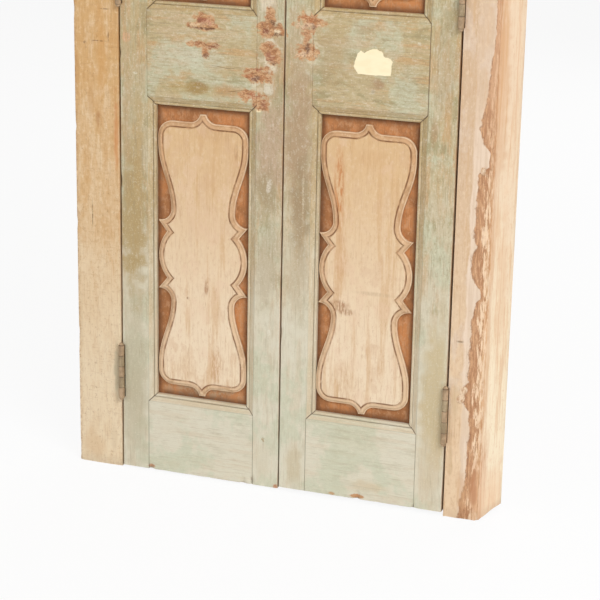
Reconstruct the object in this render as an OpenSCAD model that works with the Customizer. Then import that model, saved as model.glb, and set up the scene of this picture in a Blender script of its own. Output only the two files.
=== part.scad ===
// Antique double door in its rebated frame: two panelled leaves on butt hinges.
// Millimetres, +Z up, the front faces -Y, origin at the middle of the footprint on the floor.

/* [Leaves] */
// Width of one leaf
leaf_w = 356; // [320:1:420]
// Height of the left leaf
leaf_h = 2120; // [1960:5:2400]
// Thickness of the stiles and rails
leaf_t = 36; // [34:0.5:45]
// Flat face of the hinge stile
hinge_stile_w = 59.5; // [55:0.5:80]
// Flat face of the meeting stile
meeting_stile_w = 57.5; // [52:0.5:80]
// Flat face of the bottom rail
bottom_rail_h = 155; // [125:1:220]
// Height of the lower panel between its mouldings
lower_panel_h = 628; // [560:1:700]
// Flat face of the lock rail
lock_rail_h = 177; // [140:1:190]
// Flat face of the top rail
top_rail_h = 105; // [80:1:160]
// Gap under the left leaf
floor_gap = 4; // [2:0.5:12]
// Gap between the leaves and the head
head_gap = 4; // [2:0.5:8]
// How much higher the right leaf ends at its foot
right_foot_rise = 4; // [0:0.5:8]
// How much higher the rails of the right leaf sit
right_rail_rise = 10; // [0:0.5:16]
// Gap between the two leaves at the front
meeting_gap = 3; // [2:0.5:8]

/* [Moulding and panels] */
// Width of the moulding on the inner edges
moulding_w = 17; // [15:0.5:22]
// Width of the bead at the moulding's inner edge
bead_w = 6.4; // [4:0.2:8]
// Depth of the moulding at its inner edge
moulding_d = 8; // [7:0.5:10]
// Step where the moulding leaves the flat face
quirk_d = 0.8; // [0.4:0.1:1.5]
// Depth of the panel ground below the leaf's face
ground_d = 15; // [13:0.5:17]
// Thickness of a panel
panel_t = 10; // [8:0.5:12]
// Depth of the groove round a panel
groove_d = 9; // [6:0.5:11]
// Room for a panel to swell at the bottom of its groove
panel_seat = 1.5; // [0.5:0.1:3]
// Play of a panel across its groove
panel_play = 0.2; // [0.1:0.05:0.4]

/* [Cartouche] */
// Gap between a cartouche and the stile mouldings
cartouche_gap = 3; // [2:0.5:10]
// Gap between a cartouche's tips and the rail mouldings
tip_gap = 10.5; // [6:0.5:30]
// Height of the blunt tip above the shoulders
tip_h = 18; // [14:0.5:24]
// Reach of the tip's hollow to each side
tip_w = 29; // [25:0.5:36]
// Half the width of the tip's blunt end
tip_flat = 6.5; // [4:0.5:9]
// Radius of the shoulders
shoulder_r = 32; // [26:0.5:40]
// Straight edge below a shoulder
flank_h = 18; // [6:0.5:40]
// How far the waist draws in
waist_in = 29; // [24:0.5:34]
// Radius of the hollow above an ear
ear_r = 26; // [22:0.5:30]
// How far the notch below an ear draws in
notch_in = 19.5; // [16:0.5:26]
// Height from the notch to the ear's tip
ear_rise = 24; // [20:0.5:32]
// Half the height of the round lobe in the middle
lobe_h = 50; // [40:0.5:60]
// How far the round lobe stays inside the shoulders
lobe_in = 1; // [0:0.5:6]
// Width of the moulded border
border_w = 11; // [8:0.5:13]
// Height of the border above the panel ground
relief = 9; // [7:0.5:11]

/* [Joinery of the leaves] */
// Thickness of the tenons
tenon_t = 12; // [9:0.5:15]
// Length of the tenons
tenon_l = 44; // [35:0.5:48]
// Shoulder above and below a tenon
tenon_shoulder = 22; // [12:0.5:28]
// Clearance of a tenon in its mortise
tenon_clear = 0.2; // [0.1:0.05:0.4]
// Diameter of the leaf pegs
peg_d = 10; // [8:0.5:12]
// Distance of a peg from the shoulder of its tenon
peg_in = 24; // [15:0.5:28]
// Distance of the bottom rail's pegs below its moulding
peg_drop = 50; // [30:1:80]
// Spacing of the two pegs in the lock rail
peg_pitch = 90; // [60:1:110]
// Clearance of a peg in its hole
peg_clear = 0.1; // [0.05:0.05:0.3]

/* [Frame] */
// Face width of a jamb
jamb_w = 102.5; // [90:0.5:130]
// Depth of the frame
jamb_d = 92; // [84:0.5:130]
// Height of the head
head_h = 100; // [90:1:160]
// Reach of the stop behind the leaves
stop_w = 15; // [10:0.5:25]
// Gap between the leaves and the stop
stop_clear = 1.5; // [1:0.1:3]
// Width lost at the front of the right jamb's hewn edge
wane_w = 27; // [10:0.5:35]
// Depth at which the right jamb reaches its full width
wane_d = 80; // [60:0.5:83]
// Width of a jamb tenon
jamb_tenon_w = 50; // [40:0.5:55]
// Thickness of a jamb tenon
jamb_tenon_t = 28; // [22:0.5:32]
// Height of a jamb tenon
jamb_tenon_h = 70; // [60:0.5:80]
// Distance of a jamb tenon from the opening
jamb_tenon_in = 15; // [10:0.5:18]
// Diameter of the frame pegs
frame_peg_d = 13; // [10:0.5:16]

/* [Hinges] */
// Height of a hinge plate
plate_h = 118; // [112:1:130]
// Width of a hinge plate in the edge of the wood
plate_w = 30; // [28:0.5:32]
// Thickness of a hinge plate
plate_t = 2.4; // [2:0.1:3]
// Gap between the two plates of a closed hinge
hinge_gap = 1.6; // [1:0.1:4]
// Distance of the outer hinges' middles from the ends of the leaf
hinge_end = 216; // [200:1:300]
// Outer diameter of the knuckles
knuckle_d = 12; // [11:0.5:17]
// Gap between the barrel and the leaf's face
barrel_gap = 0.5; // [0.4:0.1:1.5]
// Gap between neighbouring knuckles
knuckle_gap = 0.3; // [0.3:0.05:0.6]
// Diameter of the hinge pins
pin_d = 6; // [5:0.5:7]
// Radial clearance of a pin in its knuckles
pin_clear = 0.05; // [0.02:0.01:0.1]
// Height of the rounded ends of a pin
tip_end_h = 6; // [4:0.5:8]
// Diameter of the rounded ends of a pin
tip_end_d = 10.5; // [9:0.5:11]
// Diameter of the screw heads
screw_head_d = 8.8; // [7.5:0.1:9.5]
// Diameter of the screw shanks
screw_d = 4.4; // [3.5:0.1:5]
// Length of the screws in the jambs
screw_l = 30; // [24:0.5:34]
// Clearance round a screw
screw_clear = 0.1; // [0.05:0.05:0.2]

/* [Hidden] */
$fn = 48;
SIDES = ["left", "right"];
HINGES = ["lower", "middle", "upper"];
SIDE_PARTS = [
    "jamb", "jamb_screws", "hinge_stile", "meeting_stile", "bottom_rail", "lock_rail", "top_rail",
    "lower_panel", "upper_panel", "lower_cartouche", "upper_cartouche", "leaf_pegs", "leaf_screws"
];
HINGE_PARTS = ["jamb_plate", "leaf_plate", "hinge_pin"];

PAINT = [0.72, 0.72, 0.60];
GROUND = [0.60, 0.35, 0.20];
BARE = [0.87, 0.76, 0.61];
JAMB_WOOD = [0.84, 0.71, 0.53];
PEG_WOOD = [0.62, 0.53, 0.40];
IRON = [0.47, 0.42, 0.36];

// Places across the door, written for the right half and mirrored for the left
knuckle_r = knuckle_d / 2;
pin_out = knuckle_r + barrel_gap;
pin_to_edge = leaf_w + hinge_gap / 2;
// The meeting edges slope back by as much as their back corners swing out
edge_slope = sqrt(pow(pin_to_edge, 2) + pow(leaf_t + pin_out, 2)) - pin_to_edge;
half_gap = meeting_gap / 2;
leaf_edge = half_gap + leaf_w;
jamb_face = leaf_edge + hinge_gap;
pin_x = jamb_face - hinge_gap / 2;
jamb_edge = jamb_face + jamb_w;
meeting_flat = half_gap + meeting_stile_w;
hinge_flat = leaf_edge - hinge_stile_w;
sight_x0 = meeting_flat + moulding_w;
sight_x1 = hinge_flat - moulding_w;

// Places through the door
rebate_d = leaf_t + stop_clear;
mid_y = (jamb_d - pin_out - knuckle_r) / 2;
tenon_y = (leaf_t - tenon_t) / 2;

// Heights: s is 0 for the left leaf and 1 for the right one
leaf_top = floor_gap + leaf_h;
opening_h = leaf_top + head_gap;
function foot_z(s) = floor_gap + s * right_foot_rise;
function lower_z0(s) = floor_gap + bottom_rail_h + s * right_rail_rise;
function lower_z1(s) = lower_z0(s) + 2 * moulding_w + lower_panel_h;
function upper_z0(s) = lower_z1(s) + lock_rail_h;
upper_z1 = leaf_top - top_rail_h;
hinge_z = [floor_gap + hinge_end, floor_gap + leaf_h / 2, leaf_top - hinge_end];

// Hinge screws: height from the plate's middle and distance from its front edge
screw_rows = 4;
screw_margin = 13;
screw_pitch = (plate_h - 2 * screw_margin) / (screw_rows - 1);
screw_edge = 9;
// The screws in the leaves are shorter, because they end before the tenons
screw_end_gap = 1;
leaf_screw_l = hinge_stile_w - tenon_l - tenon_clear - screw_end_gap;
knuckle_count = 5;
knuckle_h = (plate_h - (knuckle_count - 1) * knuckle_gap) / knuckle_count;

function arc(centre, r, from, to, steps) = [
    for (i = [0:steps])
        let (a = from + (to - from) * i / steps)
            centre + r * [cos(a), sin(a)]
];

// Draws the right half as it is and the left half mirrored, with the footprint centred
module on_side(s) {
    translate([0, -mid_y, 0])
        mirror([s == 0 ? 1 : 0, 0, 0])
            children();
}

module box(low, high) {
    translate(low)
        cube(high - low);
}

// Section of the moulded edge: across from the flat face, then into the leaf
ogee_w = moulding_w - bead_w;
ogee_d = moulding_d - bead_w / 3;
moulding_section = concat(
    [for (i = [0:6]) [ogee_w * i / 6, quirk_d + (ogee_d - quirk_d) * (1 - cos(180 * i / 6)) / 2]],
    arc([moulding_w - bead_w / 2, moulding_d], bead_w / 2, 180, 360, 8),
    [
        [moulding_w, ground_d - panel_play],
        [moulding_w - groove_d, ground_d - panel_play],
        [moulding_w - groove_d, ground_d + panel_t + panel_play],
        [moulding_w, ground_d + panel_t + panel_play],
        [moulding_w, leaf_t],
        [0, leaf_t]
    ]
);

// Moulded edge that runs up from z0 to z1 and reaches towards +X, mitred at both ends
module moulded_edge(z0, z1) {
    spare = 2;
    near = -spare;
    far = moulding_w + spare;
    intersection() {
        translate([0, 0, z0 - spare])
            linear_extrude(z1 - z0 + 2 * spare)
                polygon(moulding_section);
        translate([0, leaf_t + spare, 0])
            rotate([90, 0, 0])
                linear_extrude(leaf_t + 2 * spare)
                    polygon([[near, z0 + near], [far, z0 + far], [far, z1 - far], [near, z1 - near]]);
    }
}

// The same edge laid along a rail from x0 to x1, reaching towards +Z
module moulded_rail_edge(x0, x1) {
    mirror([1, 0, -1])
        moulded_edge(x0, x1);
}

// Tenons of the three rails, or their mortises when grown by a clearance
module tenons(z0, z1, grow) {
    for (x = [meeting_flat - tenon_l, hinge_flat])
        box(
            [x - grow, tenon_y - grow, z0 + tenon_shoulder - grow],
            [x + tenon_l + grow, tenon_y + tenon_t + grow, z1 - tenon_shoulder + grow]
        );
}

module mortises(s) {
    tenons(foot_z(s), lower_z0(s), tenon_clear);
    tenons(lower_z1(s), upper_z0(s), tenon_clear);
    tenons(upper_z1, leaf_top, tenon_clear);
}

function lock_mid(s) = (lower_z1(s) + upper_z0(s)) / 2;
function peg_heights(s) = [
    lower_z0(s) - peg_drop,
    lock_mid(s) - peg_pitch / 2,
    lock_mid(s) + peg_pitch / 2,
    upper_z1 + top_rail_h / 2
];

module peg_row(s, d) {
    for (x = [meeting_flat - peg_in, hinge_flat + peg_in])
        for (z = peg_heights(s))
            translate([x, leaf_t, z])
                rotate([90, 0, 0])
                    cylinder(d = d, h = leaf_t);
}

// Screw of length l along +X with its head flush at x = 0
module screw_shape(l, grow) {
    cone_h = plate_t * 0.9;
    r = screw_d / 2 + grow;
    head_r = screw_head_d / 2 + grow;
    rotate([0, 90, 0])
        rotate_extrude()
            polygon([[0, 0], [head_r, 0], [r, cone_h], [r, l - screw_d], [0, l + grow]]);
}

// Screws of one plate at height z, staggered, driven towards +X from the plane x = 0
function screw_place(i, z) = [
    0,
    i % 2 == 0 ? screw_edge : plate_w - screw_edge,
    z + (i - (screw_rows - 1) / 2) * screw_pitch
];

module plate_screws(z, l, grow) {
    for (i = [0:screw_rows - 1])
        translate(screw_place(i, z))
            screw_shape(l, grow);
}

module slotted_screws(z, l) {
    slot_w = 1.1;
    slot_d = 0.8;
    difference() {
        plate_screws(z, l, 0);
        for (i = [0:screw_rows - 1])
            translate(screw_place(i, z))
                rotate([15 + 40 * i, 0, 0])
                    box([-slot_d, -screw_head_d, -slot_w / 2], [slot_d, screw_head_d, slot_w / 2]);
    }
}

module at_jamb_face() {
    translate([jamb_face, 0, 0])
        children();
}

module at_leaf_edge() {
    translate([leaf_edge, 0, 0])
        mirror([1, 0, 0])
            children();
}

// Recesses and screw holes for the three plates, cut from the plane x = 0 towards +X
module hinge_seats(l) {
    for (z = hinge_z) {
        box([-1, -1, z - plate_h / 2], [plate_t, plate_w, z + plate_h / 2]);
        plate_screws(z, l, screw_clear);
    }
}

// One hinge plate at height z with its own knuckles, lying from x = 0 towards +X
module hinge_plate(z, first) {
    pitch = knuckle_h + knuckle_gap;
    difference() {
        union() {
            box([0, 0, z - plate_h / 2], [plate_t, plate_w, z + plate_h / 2]);
            for (k = [first:2:knuckle_count - 1])
                translate([0, 0, z - plate_h / 2 + k * pitch]) {
                    box([0, -pin_out, 0], [plate_t, 0, knuckle_h]);
                    translate([-hinge_gap / 2, -pin_out, 0])
                        cylinder(r = knuckle_r, h = knuckle_h);
                }
        }
        translate([-hinge_gap / 2, -pin_out, z - plate_h])
            cylinder(r = pin_d / 2 + pin_clear, h = 2 * plate_h);
        plate_screws(z, screw_l, screw_clear);
    }
}

module jamb_plate(s, h) {
    color(IRON)
        on_side(s)
            at_jamb_face()
                hinge_plate(hinge_z[h], 0);
}

module leaf_plate(s, h) {
    color(IRON)
        on_side(s)
            at_leaf_edge()
                hinge_plate(hinge_z[h], 1);
}

// Turned pin with a rounded button at each end
module hinge_pin(s, h) {
    r = pin_d / 2;
    seat = plate_h / 2;
    button_r = tip_end_d / 2;
    upper = concat(
        [[r, seat]],
        [for (a = [0:15:75]) [button_r * cos(a), seat + tip_end_h * sin(a)]],
        [[0, seat + tip_end_h]]
    );
    lower = [for (i = [len(upper) - 1:-1:0]) [upper[i][0], -upper[i][1]]];
    color(IRON)
        on_side(s)
            translate([pin_x, -pin_out, hinge_z[h]])
                rotate_extrude()
                    polygon(concat(lower, upper));
}

module jamb_screws(s) {
    color(IRON)
        on_side(s)
            at_jamb_face()
                for (z = hinge_z)
                    slotted_screws(z, screw_l);
}

module leaf_screws(s) {
    color(IRON)
        on_side(s)
            at_leaf_edge()
                for (z = hinge_z)
                    slotted_screws(z, leaf_screw_l);
}

// Tenon on top of a jamb, or its mortise when grown by a clearance
jamb_tenon_low = [jamb_face + jamb_tenon_in, (jamb_d - jamb_tenon_t) / 2, opening_h];
jamb_tenon_size = [jamb_tenon_w, jamb_tenon_t, jamb_tenon_h];
module jamb_tenon(grow) {
    play = [grow, grow, grow];
    box(jamb_tenon_low - play, jamb_tenon_low + jamb_tenon_size + play);
}

module frame_peg_pair(d) {
    for (k = [1, 3])
        translate([jamb_tenon_low[0] + jamb_tenon_w * k / 4, jamb_d, opening_h + jamb_tenon_h / 2])
            rotate([90, 0, 0])
                cylinder(d = d, h = jamb_d);
}

// Jamb with its rebate; the right one has a hewn outer edge
module jamb(s) {
    wane = s * wane_w;
    color(JAMB_WOOD)
        on_side(s)
            difference() {
                union() {
                    linear_extrude(opening_h)
                        polygon([
                            [jamb_face, 0],
                            [jamb_edge - wane, 0],
                            [jamb_edge, wane_d],
                            [jamb_edge, jamb_d],
                            [jamb_face - stop_w, jamb_d],
                            [jamb_face - stop_w, rebate_d],
                            [jamb_face, rebate_d]
                        ]);
                    jamb_tenon(0);
                }
                at_jamb_face()
                    hinge_seats(screw_l);
                frame_peg_pair(frame_peg_d + 2 * peg_clear);
            }
}

// Head across both jambs with its own stop lip
module head() {
    color(JAMB_WOOD)
        difference() {
            translate([0, -mid_y, 0]) {
                box([-jamb_edge, 0, opening_h], [jamb_edge, jamb_d, opening_h + head_h]);
                box(
                    [stop_w - jamb_face, rebate_d, opening_h - stop_w],
                    [jamb_face - stop_w, jamb_d, opening_h]
                );
            }
            for (s = [0, 1])
                on_side(s) {
                    jamb_tenon(tenon_clear);
                    frame_peg_pair(frame_peg_d + 2 * peg_clear);
                }
        }
}

module frame_pegs() {
    color(PEG_WOOD)
        for (s = [0, 1])
            on_side(s)
                frame_peg_pair(frame_peg_d);
}

module meeting_stile(s) {
    color(PAINT)
        on_side(s)
            difference() {
                union() {
                    translate([0, 0, foot_z(s)])
                        linear_extrude(leaf_top - foot_z(s))
                            polygon([
                                [half_gap, 0], [meeting_flat, 0],
                                [meeting_flat, leaf_t], [half_gap + edge_slope, leaf_t]
                            ]);
                    translate([meeting_flat, 0, 0]) {
                        moulded_edge(lower_z0(s), lower_z1(s));
                        moulded_edge(upper_z0(s), upper_z1);
                    }
                }
                mortises(s);
                peg_row(s, peg_d + 2 * peg_clear);
            }
}

module hinge_stile(s) {
    color(PAINT)
        on_side(s)
            difference() {
                union() {
                    box([hinge_flat, 0, foot_z(s)], [leaf_edge, leaf_t, leaf_top]);
                    translate([hinge_flat, 0, 0])
                        mirror([1, 0, 0]) {
                            moulded_edge(lower_z0(s), lower_z1(s));
                            moulded_edge(upper_z0(s), upper_z1);
                        }
                }
                mortises(s);
                peg_row(s, peg_d + 2 * peg_clear);
                at_leaf_edge()
                    hinge_seats(leaf_screw_l);
            }
}

// Rail from z0 to z1, with a moulded edge above or below where a panel meets it
module rail(s, z0, z1, above, below) {
    color(PAINT)
        on_side(s)
            difference() {
                union() {
                    box([meeting_flat, 0, z0], [hinge_flat, leaf_t, z1]);
                    tenons(z0, z1, 0);
                    if (above)
                        translate([0, 0, z1])
                            moulded_rail_edge(meeting_flat, hinge_flat);
                    if (below)
                        translate([0, 0, z0])
                            mirror([0, 0, 1])
                                moulded_rail_edge(meeting_flat, hinge_flat);
                }
                peg_row(s, peg_d + 2 * peg_clear);
            }
}

module bottom_rail(s) {
    rail(s, foot_z(s), lower_z0(s), true, false);
}

module lock_rail(s) {
    rail(s, lower_z1(s), upper_z0(s), true, true);
}

module top_rail(s) {
    rail(s, upper_z1, leaf_top, false, true);
}

module leaf_pegs(s) {
    color(PEG_WOOD)
        on_side(s)
            peg_row(s, peg_d);
}

// Panel between the flat edges z0 and z1, held in the grooves
module panel(s, z0, z1) {
    edge = moulding_w - groove_d + panel_seat;
    color(GROUND)
        on_side(s)
            box(
                [meeting_flat + edge, ground_d, z0 + edge],
                [hinge_flat - edge, ground_d + panel_t, z1 - edge]
            );
}

module lower_panel(s) {
    panel(s, lower_z0(s), lower_z1(s));
}

module upper_panel(s) {
    panel(s, upper_z0(s), upper_z1);
}

// Where a ray from p along u first or last meets a circle
function ray_circle(p, u, centre, r, sign) =
    let (
        q = p - centre,
        b = q * u,
        t = -b + sign * sqrt(b * b - q * q + r * r)
    )
    p + t * u;

function angle_of(v) = atan2(v[1], v[0]);
function after_first(list) = [for (i = [1:len(list) - 1]) list[i]];

// The hollow beside a tip, inset by d: from its blunt end, or from a point where the inset leaves no end
function tip_edge(hh, d) =
    let (
        r = (pow(tip_w - tip_flat, 2) + tip_h * tip_h) / (2 * tip_h),
        centre = [tip_w, hh - tip_h + r],
        end_x = tip_w - sqrt(tip_h * (2 * (r + d) - tip_h))
    )
    end_x > 0
        ? concat([[0, hh - d]], arc(centre, r + d, 180 + asin(1 - tip_h / (r + d)), 270, 5))
        : arc(centre, r + d, 180 + acos(tip_w / (r + d)), 270, 6);

// A quarter of the cartouche's edge from its upper tip to the middle of its right side,
// drawn inset by d: hw and hh are its half width and half height, k stretches its middle
function quarter(hw, hh, k, d) =
    let (
        shoulder_c = [hw - shoulder_r, hh - tip_h - shoulder_r],
        ear = [hw, (lobe_h + ear_rise) * k],
        notch = [hw - notch_in, lobe_h * k],
        ear_c = [hw - waist_in + ear_r, ear[1] + sqrt(ear_r * ear_r - pow(waist_in - ear_r, 2))],
        fall = (notch - ear) / norm(notch - ear),
        inward = [fall[1], -fall[0]],
        ear_tip = ray_circle(ear + d * inward, fall, ear_c, ear_r + d, 1),
        lobe_out = notch_in - lobe_in,
        lobe_r = (lobe_out * lobe_out + pow(lobe_h * k, 2)) / (2 * lobe_out),
        lobe_c = [hw - lobe_in - lobe_r, 0],
        notch_tip = ray_circle(ear + d * inward, fall, lobe_c, lobe_r - d, -1),
        flank_z = shoulder_c[1] - flank_h * k,
        sway = flank_z - ear_c[1]
    )
    concat(
        tip_edge(hh, d),
        arc(shoulder_c, shoulder_r - d, 90, 0, 6),
        [
            for (i = [0:7])
                let (
                    t = i / 7,
                    slope = 90 * PI / 180 * waist_in * sin(180 * t) / sway,
                    out = [1, -slope] / norm([1, slope])
                )
                [hw - waist_in * (1 - cos(180 * t)) / 2, flank_z - sway * t] - d * out
        ],
        after_first(arc(ear_c, ear_r + d, 180, 360 + angle_of(ear_tip - ear_c), 6)),
        arc(lobe_c, lobe_r - d, angle_of(notch_tip - lobe_c), 0, 5)
    );

// The whole edge, clockwise from the upper tip
function whole_edge(hw, hh, k, d) =
    let (
        q = quarter(hw, hh, k, d),
        n = len(q),
        low = [for (i = [n - 2:-1:0]) [q[i][0], -q[i][1]]],
        right = concat(q, low)
    )
    concat(right, [for (i = [len(right) - 2:-1:1]) [-right[i][0], right[i][1]]]);

// Section of the border: inset from the edge, then height above the panel
field_h = relief - 0.8;
border_section = [
    [0, 0],
    [0, relief * 0.5],
    [border_w * 0.1, relief * 0.6],
    [border_w * 0.22, relief * 0.6],
    [border_w * 0.5, relief * 0.88],
    [border_w * 0.8, relief],
    [border_w, relief * 0.72],
    [border_w * 1.15, field_h]
];

// The flat back and field fan out from four hubs on the middle line, in the bells and in the lobe
function hub_heights(hh, k) =
    let (
        bell = hh - tip_h - shoulder_r,
        lobe = lobe_h * k * 0.4
    )
    [bell, lobe, -lobe, -bell];

// Index of the hub for the step of the edge after point j, with n points in all
waist_step = 21;
function hub_of(j, n) =
    let (
        half = n / 2,
        u = j % half,
        in_bell = min(u, half - 1 - u) < waist_step,
        upper = j < n / 4 || j >= n * 3 / 4
    )
    upper ? (in_bell ? 0 : 1) : (in_bell ? 3 : 2);

function fan(n, first, hubs) = [
    for (j = [0:n - 1])
        let (
            b = (j + 1) % n,
            hub = hubs + hub_of(j, n),
            after = hubs + hub_of(b, n)
        )
        each concat(
            [[hub, first + j, first + b]],
            hub == after ? [] : [[hub, first + b, after]]
        )
];

// The cartouches sit a little low, and the right ones nearer the meeting stile
cartouche_drop = tip_gap / 3;
function cartouche_shift(s) = s == 1 ? -0.8 * cartouche_gap : 0;

// Raised cartouche with a moulded border, standing on the panel between z0 and z1
module cartouche(s, z0, z1) {
    hw = (sight_x1 - sight_x0) / 2 - cartouche_gap;
    hh = (z1 - z0) / 2 - moulding_w - tip_gap;
    k = (z1 - z0) / (lower_z1(0) - lower_z0(0));
    rings = [for (b = border_section) whole_edge(hw, hh, k, b[0])];
    n = len(rings[0]);
    last = len(rings) - 1;
    edge_points = [
        for (i = [0:last])
            for (p = rings[i])
                [p[0], -border_section[i][1], p[1]]
    ];
    hub_points = [for (y = [0, -field_h]) for (z = hub_heights(hh, k)) [0, y, z]];
    walls = [
        for (i = [0:last - 1])
            for (j = [0:n - 1])
                let (a = i * n + j, b = i * n + (j + 1) % n)
                each [[a, b, a + n], [b, b + n, a + n]]
    ];
    hubs = len(edge_points);
    back = [for (f = fan(n, 0, hubs)) [f[2], f[1], f[0]]];
    field = fan(n, last * n, hubs + len(hub_points) / 2);
    color(BARE)
        on_side(s)
            translate([
                (sight_x0 + sight_x1) / 2 + cartouche_shift(s),
                ground_d,
                (z0 + z1) / 2 - cartouche_drop
            ])
                polyhedron(concat(edge_points, hub_points), concat(walls, back, field));
}

module lower_cartouche(s) {
    cartouche(s, lower_z0(s), lower_z1(s));
}

module upper_cartouche(s) {
    cartouche(s, upper_z0(s), upper_z1);
}

head();
frame_pegs();
for (s = [0, 1]) {
    jamb(s);
    jamb_screws(s);
    hinge_stile(s);
    meeting_stile(s);
    bottom_rail(s);
    lock_rail(s);
    top_rail(s);
    lower_panel(s);
    upper_panel(s);
    lower_cartouche(s);
    upper_cartouche(s);
    leaf_pegs(s);
    leaf_screws(s);
    for (h = [0:2]) {
        jamb_plate(s, h);
        leaf_plate(s, h);
        hinge_pin(s, h);
    }
}
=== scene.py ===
import itertools
import math

import bmesh
import bpy
import numpy as np
from mathutils import Matrix, Vector


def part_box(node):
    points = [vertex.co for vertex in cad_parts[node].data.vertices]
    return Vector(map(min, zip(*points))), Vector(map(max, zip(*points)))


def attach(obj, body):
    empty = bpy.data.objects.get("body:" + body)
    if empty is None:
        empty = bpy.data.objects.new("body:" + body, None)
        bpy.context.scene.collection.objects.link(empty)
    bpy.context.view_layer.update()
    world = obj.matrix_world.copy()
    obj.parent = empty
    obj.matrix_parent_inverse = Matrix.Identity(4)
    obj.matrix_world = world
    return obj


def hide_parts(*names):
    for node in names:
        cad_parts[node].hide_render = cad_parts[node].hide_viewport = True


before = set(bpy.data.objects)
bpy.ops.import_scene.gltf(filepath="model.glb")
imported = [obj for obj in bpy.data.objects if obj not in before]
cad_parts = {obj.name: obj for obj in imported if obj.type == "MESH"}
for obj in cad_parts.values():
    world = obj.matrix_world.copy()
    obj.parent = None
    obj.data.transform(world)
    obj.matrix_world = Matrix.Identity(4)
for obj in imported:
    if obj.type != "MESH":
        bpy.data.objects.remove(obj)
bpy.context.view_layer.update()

MM = 0.001
SIDES = {"left": -1, "right": 1}
HINGES = ("lower", "middle", "upper")
# Steps of the meshes, and how near two points lie to be one
FINE_STEP = 2 * MM
PLAIN_STEP = 6 * MM
JAMB_STEP = {"left": 6 * MM, "right": 4 * MM}
JAMB_FINE = {"left": 2.6 * MM, "right": 1.6 * MM}
WELD = 0.02 * MM
# Mouldings and joints of the leaves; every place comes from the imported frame
MOULDING_W = 17 * MM
MOULDING_D = 8 * MM
BEAD_W = 6.4 * MM
QUIRK_D = 0.8 * MM
OGEE_W = MOULDING_W - BEAD_W
OGEE_D = MOULDING_D - BEAD_W / 3
JOINT_W = 0.9 * MM
MITRE_CUT = 1.1 * MM
ARRIS = 0.6 * MM
# Jambs and head, and the plates let into them
JAMB_ARRIS = 2 * MM
REVEAL_ARRIS = 0.8 * MM
PLATE_T = 2.4 * MM
STOP_CLEAR = 1.5 * MM
WANE_W = 27 * MM
WANE_D = 80 * MM
BACK_WANE = 10 * MM
HEAD_H = 100 * MM
# Pegs through the tenons, and how far paint covers them
PEG_D = 10 * MM
PEG_IN = 24 * MM
PEG_DROP = 50 * MM
PEG_PITCH = 90 * MM
PEG_COVER = 3 * MM
# Wear: waves and fuzz of the planed faces, torn places, cracks, and what has broken off the jambs
PLANE_WAVES = 0.12 * MM
PLANE_FUZZ = 0.06 * MM
CRACK_D = 1.6 * MM
CRACK_WANDER = 2.5 * MM
FLAKE_T = 0.8 * MM
JAMB_BITE = {"left": 2.5 * MM, "right": 3.5 * MM}
FOOT_WEAR = {"left": 1.2 * MM, "right": 3 * MM}
FOOT_SLOPE = 9 * MM
FOOT_H = 30 * MM
# How far the painted shade and rust at the joints between hinge knuckles reach
SEAM_W = 1.2 * MM
# Where paint has filled the joints: middle height, half height, how far across; and opened ones near the floor
FILLED_Z = 0.92
FILLED_HALF = 0.12
FILLED_TO = 0.1
OPENED_H = 0.3
# Heights between which the torn places lie, and the joint that has opened
SCAR_ZONE = (0.6, 1.0)
OPEN_JOINT = ("right", "lock")


def span(node, axis):
    low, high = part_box(node)
    return low[axis], high[axis]


def reach(node):
    """How far a node lies from the middle line: nearest and furthest."""
    low, high = span(node, 0)
    return min(abs(low), abs(high)), max(abs(low), abs(high))


FACE_Y, BACK_Y = span("left_meeting_stile", 1)
LEAF_T = BACK_Y - FACE_Y
FRONT_D = 0.4 * LEAF_T
GROOVE_D = 0.45 * LEAF_T
SEAT_REACH = span("left_lower_leaf_plate", 1)[1] - FACE_Y
SEAT_LIP = 0.01 * MM


def smooth(t):
    t = np.clip(t, 0, 1)
    return t * t * (3 - 2 * t)


def lattice(cell, seed):
    """A fixed random value from -1 to 1 for each whole-number place."""
    n = cell[..., 0] * 73856093 ^ cell[..., 1] * 19349663 ^ cell[..., 2] * 83492791 ^ seed * 40503
    n = n & 0x7FFFFFFF
    n = ((n ^ (n >> 13)) * 1274126177) & 0x7FFFFFFF
    n = n ^ (n >> 16)
    return (n & 0xFFFF) / 32767.5 - 1


def waver(points, pitch, seed=0):
    """Smooth noise from -1 to 1 with bumps of about the given size along each axis."""
    p = points / np.asarray(pitch)
    cell = np.floor(p).astype(np.int64)
    f = smooth(p - cell)
    total = np.zeros(points.shape[:-1])
    for step in itertools.product((0, 1), repeat=3):
        share = np.prod(np.where(step, f, 1 - f), axis=-1)
        total += share * lattice(cell + np.array(step), seed)
    return total


def ragged(points, pitch, seed=0):
    """Noise with finer noise on it, for torn and flaked edges."""
    pitch = np.asarray(pitch)
    return 0.6 * waver(points, pitch, seed) + 0.4 * waver(points, pitch * 0.45, seed + 7)


def linear(r, g, b):
    """A colour as it looks on a screen, 0 to 255, turned into the linear values that shaders take."""
    parts = [c / 255 for c in (r, g, b)]
    return tuple(c / 12.92 if c <= 0.04045 else ((c + 0.055) / 1.055) ** 2.4 for c in parts)


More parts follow.
